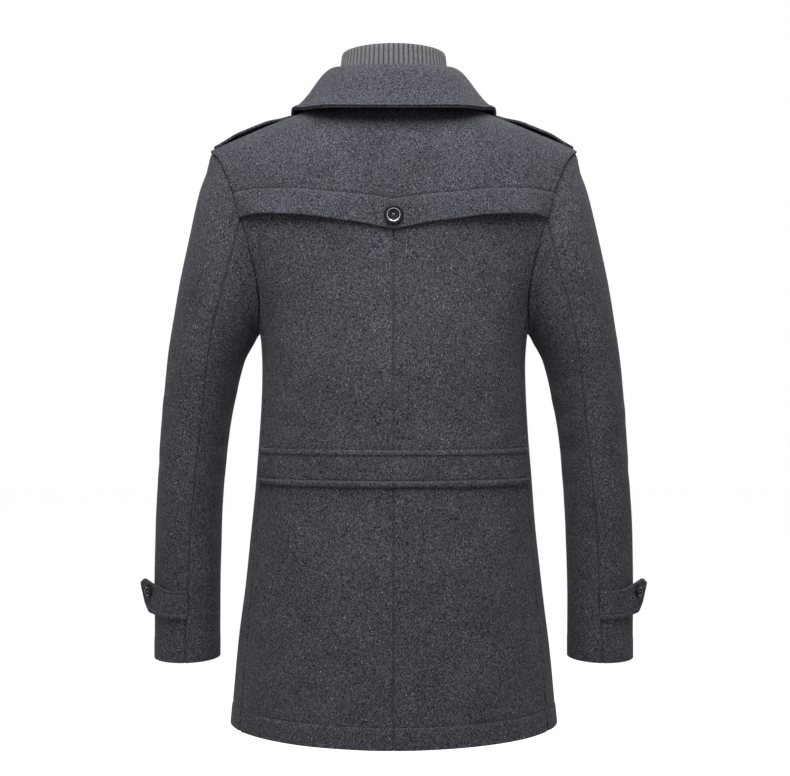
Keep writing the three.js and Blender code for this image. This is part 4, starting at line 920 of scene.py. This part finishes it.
def strap(name, side, base, normal, lift, thick, columns, rows):
    """A strap of two layers with a stitch line along its two sides and across its free end."""
    base, normal = on_side(side, base, normal)
    made, outer = cloth(name, base, normal, lift, thick, wool,
                        edge=((0.1, 0.3), (0.4, 0.35), (0.5, 0.05), (0.6, 0.35), (0.9, 0.3)))
    low, high = columns
    lines = [(rows, low), (rows, high), (rows.stop - 1 if rows.stop else rows.start, slice(low, high + 1))]
    return made, stitches(f"{name}_stitches", [(outer[line], normal[line]) for line in lines])


length = EPAULETTE_BASE_X - EPAULETTE_TIP_X
along = with_lines(steps(length, 0.4, 3.0), [EPAULETTE_STITCH], reach=1.8) / length
across = with_lines(steps(2 * EPAULETTE_HALF_WIDTH, 0.4, 3.0), [EPAULETTE_STITCH, 2 * EPAULETTE_HALF_WIDTH
                                                               - EPAULETTE_STITCH], reach=1.8)
across = across / EPAULETTE_HALF_WIDTH - 1
tip = np.minimum(along / EPAULETTE_SHOULDER, 1)
half_width = EPAULETTE_HALF_WIDTH * (0.8 + 0.2 * along) * (0.35 + 0.65 * tip)
strap_y = SHOULDER_Y + across[None, :] * half_width[:, None]
strap_base = EPAULETTE_BASE_X - EPAULETTE_BASE_BOW * across ** 2
strap_x = EPAULETTE_TIP_X - EPAULETTE_POINT * (1 - np.abs(across))[None, :] * (1 - tip)[:, None]
strap_x = strap_x + (strap_base - EPAULETTE_TIP_X)[None, :] * along[:, None]
epaulette_base = surface_under(strap_x, strap_y)
epaulette_normal = form_normal(epaulette_base)
to_edge = np.minimum((1 - np.abs(across))[None, :] * half_width[:, None], (along * length)[:, None] + 1.5)
epaulette_lift = stitched_edge(to_edge, EPAULETTE_STITCH)
standing = EPAULETTE_STAND * across ** 2 * (ease(1 - along, 0, 0.3) * ease(along, 0.12, 0.4))[:, None]
epaulette_out = epaulette_base + epaulette_normal * (EPAULETTE_LIFT + EPAULETTE_THICK + standing)[..., None]
inset = 1 - EPAULETTE_STITCH / EPAULETTE_HALF_WIDTH
stitch_columns = [int(np.argmin(np.abs(across - sign * inset))) for sign in (-1, 1)]
stitch_row = int(np.argmin(np.abs(along * length - EPAULETTE_STITCH)))
for side_name, side in SIDES:
    epaulette, sewn = strap(f"{side_name}_epaulette", side, epaulette_out, epaulette_normal, epaulette_lift,
                            EPAULETTE_THICK, stitch_columns, slice(stitch_row, None))
    stand_for(epaulette, f"epaulette_{side_name}")


# The cuff tabs: two-layer straps caught in the back sleeve seam. Each follows the cuff for a hand's breadth and
# leaves it on a wide arc, its clipped end standing off beside the sleeve with a button near the upper corner.
TAB_MIDDLE_Z = -630
TAB_HALF_HEIGHT = 17.3
TAB_END_HALF_HEIGHT = 21.5
TAB_THICK = 3
TAB_STAND_OFF = 0.9
TAB_START_ANGLE = 102.5
TAB_LEAVE_ANGLE = 66
TAB_FREE = 45
TAB_SKEW = 6
TAB_CURL = 0.5
TAB_CORNER = 9
TAB_RISE = 10.5
TAB_BUTTON_PLACE = 30
TAB_BUTTON_RISE = 14
TAB_STITCH = 5
cuff_rows = SLEEVE[SLEEVE[:, 3] <= -600][::-1]
cuff_line = smooth_line(cuff_rows[:, 3], cuff_rows[:, [0, 2, 4, 5]])


def cuff_point(z, angle):
    """Points of the sleeve near the cuff, and the directions out of it: a level ellipse at each height."""
    inner_x, outer_x, depth, middle = np.moveaxis(cuff_line(z), -1, 0)
    points = np.stack([(inner_x + outer_x) / 2 + (outer_x - inner_x) / 2 * np.cos(angle),
                       middle + depth * np.sin(angle), z + 0 * angle], axis=-1)
    normal = np.stack([np.cos(angle) / (outer_x - inner_x) * 2, np.sin(angle) / depth, 0 * angle], axis=-1)
    return points, normal / np.linalg.norm(normal, axis=-1, keepdims=True)


def tab_line(distance, z):
    """Along the cuff up to distance 0, given in shares of the sewn stretch, and past it an arc of even bend."""
    start, leave = np.radians(TAB_START_ANGLE), np.radians(TAB_LEAVE_ANGLE)
    points, normal = cuff_point(z, np.where(distance <= 0, start + (leave - start) * (1 + distance), leave))
    onward = np.stack([normal[..., 1], -normal[..., 0], 0 * distance], axis=-1)
    bend = np.radians(TAB_CURL)
    turn = (bend * np.maximum(distance, 0))[..., None]
    points = points + onward * np.sin(turn) / bend + normal * (np.cos(turn) - 1) / bend
    return points, normal * np.cos(turn) + onward * np.sin(turn)


sewn_stretch = 28
tab_down = with_lines(steps(sewn_stretch + TAB_FREE, 0.4, 2.6), [sewn_stretch + TAB_FREE - TAB_STITCH], reach=1.8)
tab_distance = np.where(tab_down < sewn_stretch, 0.94 * (tab_down / sewn_stretch - 1), tab_down - sewn_stretch)
tab_up = with_lines(steps(2 * TAB_HALF_HEIGHT, 0.4, 2.4), [TAB_STITCH, 2 * TAB_HALF_HEIGHT - TAB_STITCH], reach=1.6)
tab_across = tab_up / TAB_HALF_HEIGHT - 1
free = np.maximum(tab_distance, 0) / TAB_FREE
tab_half = TAB_HALF_HEIGHT + (TAB_END_HALF_HEIGHT - TAB_HALF_HEIGHT) * free
tab_half = tab_half - np.maximum(tab_distance - TAB_FREE + TAB_CORNER, 0)
tab_z = TAB_MIDDLE_Z + tab_across[None, :] * tab_half[:, None] + TAB_RISE * free[:, None]
tab_base, tab_normal = tab_line(tab_distance[:, None] + TAB_SKEW * tab_across[None, :] * free[:, None], tab_z)
to_edge = np.minimum((1 - np.abs(tab_across))[None, :] * tab_half[:, None], (TAB_FREE + 0.5 - tab_distance)[:, None])
tab_lift = stitched_edge(to_edge, TAB_STITCH)
tab_out = tab_base + tab_normal * (TAB_STAND_OFF + TAB_THICK)
inset = 1 - TAB_STITCH / TAB_HALF_HEIGHT
tab_columns = [int(np.argmin(np.abs(tab_across - sign * inset))) for sign in (-1, 1)]
tab_row = int(np.argmin(np.abs(tab_distance - TAB_FREE + TAB_STITCH)))
for side_name, side in SIDES:
    tab, sewn = strap(f"{side_name}_cuff_tab", side, tab_out, tab_normal, tab_lift, TAB_THICK, tab_columns,
                      slice(None, tab_row + 1))
    stand_for(tab, f"cuff_tab_{side_name}")


# The turn-down collar: a stand sewn into the neck seam, and a fall of two layers that rolls over it and flares
# out to a thick stitched edge, resting just above the storm flap.
FOLD_HALF = 74.5
FOLD_BACK_Y = 82
FOLD_FRONT_Y = 94
FOLD_END_ANGLE = 173
LEAF_OUT = 20
LEAF_DROP = 3
LEAF_BEND = 0.45
LEAF_FLARE = 0.25
COLLAR_THICK = 3.6
COLLAR_STITCH = 7
STAND_THICK = 2.5
COLLAR_LENGTH = 760
# Angle from the centre back, height of the fold, and the place of the fall's edge
COLLAR_PATH = np.array([
    (0, 28, 0, 117, -29),
    (20, 29, 41, 113, -28),
    (40, 31, 80, 98, -25),
    (60, 35, 108, 66, -21),
    (80, 39, 126, 22, -14),
    (100, 38, 130, -28, -17),
    (120, 27, 122, -72, -42),
    (140, 5, 108, -103, -77),
    (158, -22, 91, -117, -110),
    (173, -46, 74, -124, -138),
])
ROLL = ((-4.5, -11), (-4.5, -4), (-2.8, -0.8))
fold_height_at, collar_x_at, collar_y_at, collar_z_at = (
    smooth_line(COLLAR_PATH[:, 0], COLLAR_PATH[:, k]) for k in (1, 2, 3, 4))


def fold(angle):
    """The collar's fold line, an ellipse that rises and falls round the neck, and the level way out of it."""
    turn = np.radians(angle)
    depth = np.where(np.cos(turn) > 0, FOLD_BACK_Y, FOLD_FRONT_Y)
    points = np.stack([FOLD_HALF * np.sin(turn), depth * np.cos(turn), fold_height_at(np.abs(angle))], axis=-1)
    away = np.stack([np.sin(turn) / FOLD_HALF, np.cos(turn) / depth, 0 * turn], axis=-1)
    return points, away / np.linalg.norm(away, axis=-1, keepdims=True)


def fall_rows(angle, share):
    """The fall's section at each angle: a short roll inside the fold, then a cubic Bezier curve to the edge."""
    points, away = fold(angle)
    up = np.array([0, 0, 1])
    rolled = [points + away * out + up * rise for out, rise in ROLL]
    at = np.abs(angle)
    edge = np.stack([np.sign(angle) * collar_x_at(at), collar_y_at(at), collar_z_at(at)], axis=-1)
    near = points + away * LEAF_OUT - up * LEAF_DROP
    far = edge + LEAF_BEND * (points - edge)
    far[..., 2] = edge[..., 2] + LEAF_FLARE * (points - edge)[..., 2]
    s = share[:, None, None]
    curve = (1 - s) ** 3 * points + 3 * s * (1 - s) ** 2 * near + 3 * s * s * (1 - s) * far + s ** 3 * edge
    return np.concatenate([np.stack(rolled), curve])


collar_angle = FOLD_END_ANGLE * (2 * steps(COLLAR_LENGTH, FINE, COARSE) / COLLAR_LENGTH - 1)
rough = fall_rows(collar_angle, np.linspace(0, 1, 41))
fall_way = np.concatenate([[0], np.cumsum(np.linalg.norm(np.diff(rough, axis=0), axis=-1).mean(axis=1))])
fall_down = with_lines(steps(fall_way[-1], 0.5, 3.4), [fall_way[-1] - COLLAR_STITCH], reach=2.2)
fall_at = np.interp(fall_down, fall_way, np.arange(len(rough)))
fall_base = smooth_line(np.arange(len(rough)), rough)(fall_at)
fall_normal = grid_normal(fall_base, np.array([0, 0, -60]))
from_edge = fall_way[-1] - fall_down
fall_rim = groove(from_edge - COLLAR_STITCH, 1.3, 1.3)
fall_rim += 1.2 * (1 - ease(from_edge, COLLAR_STITCH - 2, COLLAR_STITCH))
fall_lift = fall_rim[:, None] + 0.5 * drift(collar_angle * 1.9, fall_down[:, None], 2.2) * ease(from_edge, 6, 20)[:, None]
fall, fall_outer = cloth("collar_leaf", fall_base, fall_normal, fall_lift, COLLAR_THICK, wool,
                         edge=((0.08, 0.5), (0.34, 0.7), (0.46, -0.5), (0.58, 0.7), (0.92, 0.5)))
collar_row = int(np.argmin(np.abs(from_edge - COLLAR_STITCH)))
fall_sewn = stitches("collar_leaf_stitches", [(fall_outer[collar_row], fall_normal[collar_row])])
stand_for(fall, "collar_fall")


def neck_seam(angle):
    """The neck seam by the angle round the neck from the centre back, on the body form."""
    x = NECK_HALF * np.sin(np.radians(angle))
    behind = np.abs(angle) <= 90
    z = np.where(behind, neck_seam_at(x, 1), neck_seam_at(x, -1))
    return np.stack([x, np.where(behind, form_y(x, z, 1), form_y(x, z, -1)), z], axis=-1)


def stand_rows(angle, share):
    """The stand's neck side: straight lines from the neck seam to the end of the fall's roll."""
    points, away = fold(angle)
    up = np.array([0, 0, 1])
    low = neck_seam(angle) - away * (STAND_THICK + 1) + up
    high = points + away * ROLL[0][0] + up * (ROLL[0][1] - SEAM)
    return low + (high - low) * share[:, None, None], away


stand_share = steps(40, 0.5, 3.4) / 40
stand_inner, stand_away = stand_rows(collar_angle, stand_share)
stand_out = stand_inner + stand_away * STAND_THICK
stand, _ = cloth("collar_stand_band", stand_out, np.broadcast_to(stand_away, stand_out.shape),
                 0.2 * drift(collar_angle * 1.9, 40 * stand_share[:, None], 1.1), STAND_THICK, wool)
stand_for(stand, "collar_stand")


# The inner collar: a band of one-by-one rib knitted in a paler grey yarn, double with its fold uppermost, sewn in
# behind the stand and standing 30 mm above the wool collar.
KNIT_TOP_HALF = 65.5
KNIT_TOP_BACK_Y = 64
KNIT_TOP_FRONT_Y = 76
KNIT_TOP_Z = 57
KNIT_FRONT_DROP = 48
KNIT_THICK = 2.4
KNIT_RIB_RISE = 1.1
KNIT_GAP = 0.75
KNIT_RIBS = 66
KNIT_END_ANGLE = 176
KNIT_FOOT_SHARE = 0.12
RIB_COLUMNS = 10
KNIT_STITCH = 2.9


def rib_knit():
    """Fine merino-blend yarn: columns of V-shaped stitches, read from the piece's own map (ribs, millimetres), with
    painted shade that darkens the valleys between the ribs.
    """
    material, tree, shader, place = new_material("grey_rib_knit")
    weave = node(tree, "ShaderNodeUVMap", uv_map="weave").outputs["UV"]
    parts = node(tree, "ShaderNodeSeparateXYZ", {"Vector": weave})
    column = node(tree, "ShaderNodeMath", {0: parts.outputs["X"], 1: 1.0}, operation="PINGPONG")
    leg = node(tree, "ShaderNodeMath", {0: column.outputs["Value"], 1: 2.2}, operation="MULTIPLY")
    height = node(tree, "ShaderNodeMath", {0: parts.outputs["Y"], 1: KNIT_STITCH}, operation="DIVIDE")
    slanted = node(tree, "ShaderNodeMath", {0: height.outputs["Value"], 1: leg.outputs["Value"]}, operation="ADD")
    whole = node(tree, "ShaderNodeMath", {0: slanted.outputs["Value"], 1: 2 * np.pi}, operation="MULTIPLY")
    wave = node(tree, "ShaderNodeMath", {0: whole.outputs["Value"]}, operation="SINE")
    fuzz = node(tree, "ShaderNodeTexNoise", {"Vector": place, "Scale": 900.0, "Detail": 3.0})
    # Painted shade: valley is 0 in the valleys between the ribs and 1 on their crowns, and deep mixes the yarn colour
    # towards near black there, where shade falls
    valley = node(tree, "ShaderNodeMapRange", {"Value": column.outputs["Value"], "From Min": 0.0, "From Max": 0.55,
                                               "To Min": 0.0, "To Max": 1.0})
    shade = shades(tree, fuzz.outputs["Fac"], (0.026, 0.026, 0.0285), (0.068, 0.0672, 0.073), 0.3, 0.7)
    # The near-black colour here is painted shade for the rib valleys, not a darker yarn
    deep = node(tree, "ShaderNodeMix", {"Factor": valley.outputs["Result"], "A": (0.006, 0.006, 0.007, 1),
                                        "B": shade}, data_type="RGBA")
    tree.links.new(deep.outputs["Result"], shader.inputs["Base Color"])
    mixed = node(tree, "ShaderNodeMath", {0: wave.outputs["Value"], 1: 0.35, 2: fuzz.outputs["Fac"]},
                 operation="MULTIPLY_ADD")
    raised = node(tree, "ShaderNodeBump", {"Height": mixed.outputs["Value"], "Strength": 0.6, "Distance": 0.0008})
    tree.links.new(raised.outputs["Normal"], shader.inputs["Normal"])
    finish(shader, {"Roughness": 0.9, "Specular IOR Level": 0.15, "Sheen Weight": 0.05, "Sheen Roughness": 0.5,
                    "Sheen Tint": (0.92, 0.9, 0.9, 1)})
    return material


knit_angle = KNIT_END_ANGLE * np.linspace(-1, 1, KNIT_RIBS * RIB_COLUMNS + 1)
_, knit_away = fold(knit_angle)
up = np.array([0, 0, 1])
foot = stand_rows(knit_angle, np.array([KNIT_FOOT_SHARE]))[0][0] - knit_away * (KNIT_RIB_RISE + KNIT_GAP)
depth = np.where(np.cos(np.radians(knit_angle)) > 0, KNIT_TOP_BACK_Y, KNIT_TOP_FRONT_Y)
head = np.stack([KNIT_TOP_HALF * np.sin(np.radians(knit_angle)), depth * np.cos(np.radians(knit_angle)),
                 KNIT_TOP_Z - KNIT_FRONT_DROP * ease(np.abs(knit_angle), 95, 180)], axis=-1) - knit_away * KNIT_RIB_RISE
upright = head + knit_away * 2.6
upright[:, 2] = foot[:, 2] + 0.55 * (head - foot)[:, 2]
rise_share = steps(80, 0.5, 2.6) / 80
s = rise_share[:, None, None]
knit_base = (1 - s) ** 2 * foot + 2 * s * (1 - s) * upright + s ** 2 * head
rib = np.linspace(0, KNIT_RIBS, KNIT_RIBS * RIB_COLUMNS + 1)
rib_lift = KNIT_RIB_RISE * np.abs(np.sin(np.pi * rib)) ** 0.8 - 0.1
knit_lift = rib_lift[None, :] * (0.35 + 0.65 * ease(1 - rise_share, 0, 0.05))[:, None]
knit_uv = np.stack(np.broadcast_arrays(2 * rib[None, :], 80 * rise_share[:, None]), axis=-1)
knit, _ = cloth("ribbed_inner_collar", knit_base, np.broadcast_to(knit_away, knit_base.shape), knit_lift, KNIT_THICK,
                rib_knit(), edge=((0.1, 0.5), (0.5, 0.9), (0.9, 0.5)), uv=knit_uv)
stand_for(knit, "knit_collar")


# The buttons: black cast resin with a raised rim and a thin bright ring let into the dish, sewn on with two
# crossed bars of dark thread. One closes the storm flap, one sits on each cuff tab and five run down the front.
BUTTON_RADIUS = 11.5
BUTTON_THICK = 4.2
SMALL_BUTTON_RADIUS = 8
SMALL_BUTTON_THICK = 3.8
BUTTON_SIDES = 72
FLAP_BUTTON_Z = -158
FRONT_BUTTON_HEIGHTS = (-125, -235, -345, -455, -565)
# Distance from the middle and height, in shares of the radius and the thickness, and the finish after it
BUTTON_PROFILE = (
    (0.0, 0.0, 0), (0.5, 0.0, 0), (0.84, 0.0, 0), (0.93, 0.1, 0), (0.99, 0.34, 0), (1.0, 0.55, 0), (0.985, 0.78, 0),
    (0.93, 0.94, 0), (0.86, 1.0, 0), (0.78, 0.95, 0), (0.71, 0.74, 0), (0.675, 0.64, 1), (0.65, 0.68, 1),
    (0.625, 0.64, 0), (0.6, 0.56, 0), (0.42, 0.5, 0), (0.18, 0.46, 0), (0.0, 0.46, 0),
)


# Black resin with faint grey clouds, a little duller where it has been handled
resin, tree, shader, cloud = mottled("black_resin", 160.0, 3.0, (0.002, 0.002, 0.0025), (0.006, 0.006, 0.007))
worn = node(tree, "ShaderNodeMapRange", {"Value": cloud, "To Min": 0.3, "To Max": 0.45})
tree.links.new(worn.outputs["Result"], shader.inputs["Roughness"])
finish(shader, {"Specular IOR Level": 0.06})

# Polished nickel with fine scratches
nickel, tree, shader, scratch = mottled("nickel_ring", 1400.0, 2.0, (0.34, 0.33, 0.33), (0.6, 0.58, 0.58))
dulled = node(tree, "ShaderNodeMapRange", {"Value": scratch, "To Min": 0.14, "To Max": 0.34})
tree.links.new(dulled.outputs["Result"], shader.inputs["Roughness"])
finish(shader, {"Metallic": 1.0})

button_finishes = [resin, nickel, thread]


def button(name, middle, out, radius, thick, solid):
    """A turned disc: its profile carried round its axis, with two crossed threads sunk in the middle."""
    out = out / np.linalg.norm(out)
    right = np.cross((0, 0, 1), out)
    right /= np.linalg.norm(right)
    upward = np.cross(out, right)
    turn = np.linspace(0, 2 * np.pi, BUTTON_SIDES, endpoint=False)
    profile = np.array(BUTTON_PROFILE)
    ring = radius * (np.cos(turn)[:, None] * right + np.sin(turn)[:, None] * upward)
    body = profile[1:-1, 0, None, None] * ring + profile[1:-1, 1, None, None] * thick * out
    poles = np.stack([profile[0, 1] * thick * out, profile[-1, 1] * thick * out])
    rings = len(body)
    at = (np.arange(rings - 1) * BUTTON_SIDES)[:, None] + np.arange(BUTTON_SIDES)
    after = (np.arange(rings - 1) * BUTTON_SIDES)[:, None] + (np.arange(BUTTON_SIDES) + 1) % BUTTON_SIDES
    quads = np.stack([at, after, after + BUTTON_SIDES, at + BUTTON_SIDES], axis=-1).reshape(-1, 4)
    finish = np.repeat(profile[1:-2, 2].astype(int), BUTTON_SIDES)
    side = np.arange(BUTTON_SIDES)
    turned = (side + 1) % BUTTON_SIDES
    pole = rings * BUTTON_SIDES
    under = np.stack([np.full(BUTTON_SIDES, pole), turned, side], axis=1)
    over = np.stack([np.full(BUTTON_SIDES, pole + 1), side + (rings - 1) * BUTTON_SIDES,
                     turned + (rings - 1) * BUTTON_SIDES], axis=1)
    points = np.concatenate([body.reshape(-1, 3), poles])
    faces = quads.tolist() + under.tolist() + over.tolist()
    finishes = finish.tolist() + [0] * (2 * BUTTON_SIDES)
    bar = np.linspace(-1, 1, 7)
    around = np.linspace(0, 2 * np.pi, 8, endpoint=False)
    for lean in (1, -1):
        way = (right + lean * upward) / np.sqrt(2)
        aside = np.cross(out, way)
        rise = thick * (0.5 - 0.12 * bar ** 4) + 0.25 * (lean > 0)
        centre = radius * 0.2 * bar[:, None] * way + rise[:, None] * out
        tube = centre[:, None] + 0.55 * (np.cos(around)[:, None] * aside + np.sin(around)[:, None] * out)
        first = len(points)
        points = np.concatenate([points, tube.reshape(-1, 3)])
        at = first + (np.arange(6) * 8)[:, None] + np.arange(8)
        after = first + (np.arange(6) * 8)[:, None] + (np.arange(8) + 1) % 8
        faces += np.stack([at, at + 8, after + 8, after], axis=-1).reshape(-1, 4).tolist()
        faces += [list(range(first, first + 8)), list(range(first + 55, first + 47, -1))]
        finishes += [2] * 50
    mesh = bpy.data.meshes.new(name)
    mesh.from_pydata(((points + middle) * MM).tolist(), [], faces)
    made = finished(name, mesh, button_finishes)
    mesh.polygons.foreach_set("material_index", finishes)
    stand_for(made, solid)
    return made


def form_point(x, z, face):
    """A point of the body form and the direction out of it."""
    point = np.array([x, float(form_y(x, z, face)), z])
    return point, form_normal(point[None])[0]


place, out = form_point(0, FLAP_BUTTON_Z, 1)
button("storm_flap_button", place + out * (OVERLAY_GAP + FLAP_THICK + SEAM + 0.9), out, BUTTON_RADIUS, BUTTON_THICK,
       "button_yoke")
place, out = tab_line(np.array(TAB_BUTTON_PLACE), np.array(TAB_MIDDLE_Z + TAB_BUTTON_RISE))
for side_name, side in SIDES:
    turned = np.array([side, 1, 1])
    button(f"{side_name}_cuff_button", (place + out * (TAB_STAND_OFF + TAB_THICK + SEAM)) * turned, out * turned,
           SMALL_BUTTON_RADIUS, SMALL_BUTTON_THICK, f"button_cuff_{side_name}")
for number, height in enumerate(FRONT_BUTTON_HEIGHTS, start=1):
    place, out = form_point(0, height, -1)
    button(f"front_button_{number}", place + out * (FRONT_LAYER + SEAM), out, BUTTON_RADIUS, BUTTON_THICK,
           f"button_front_{number}")
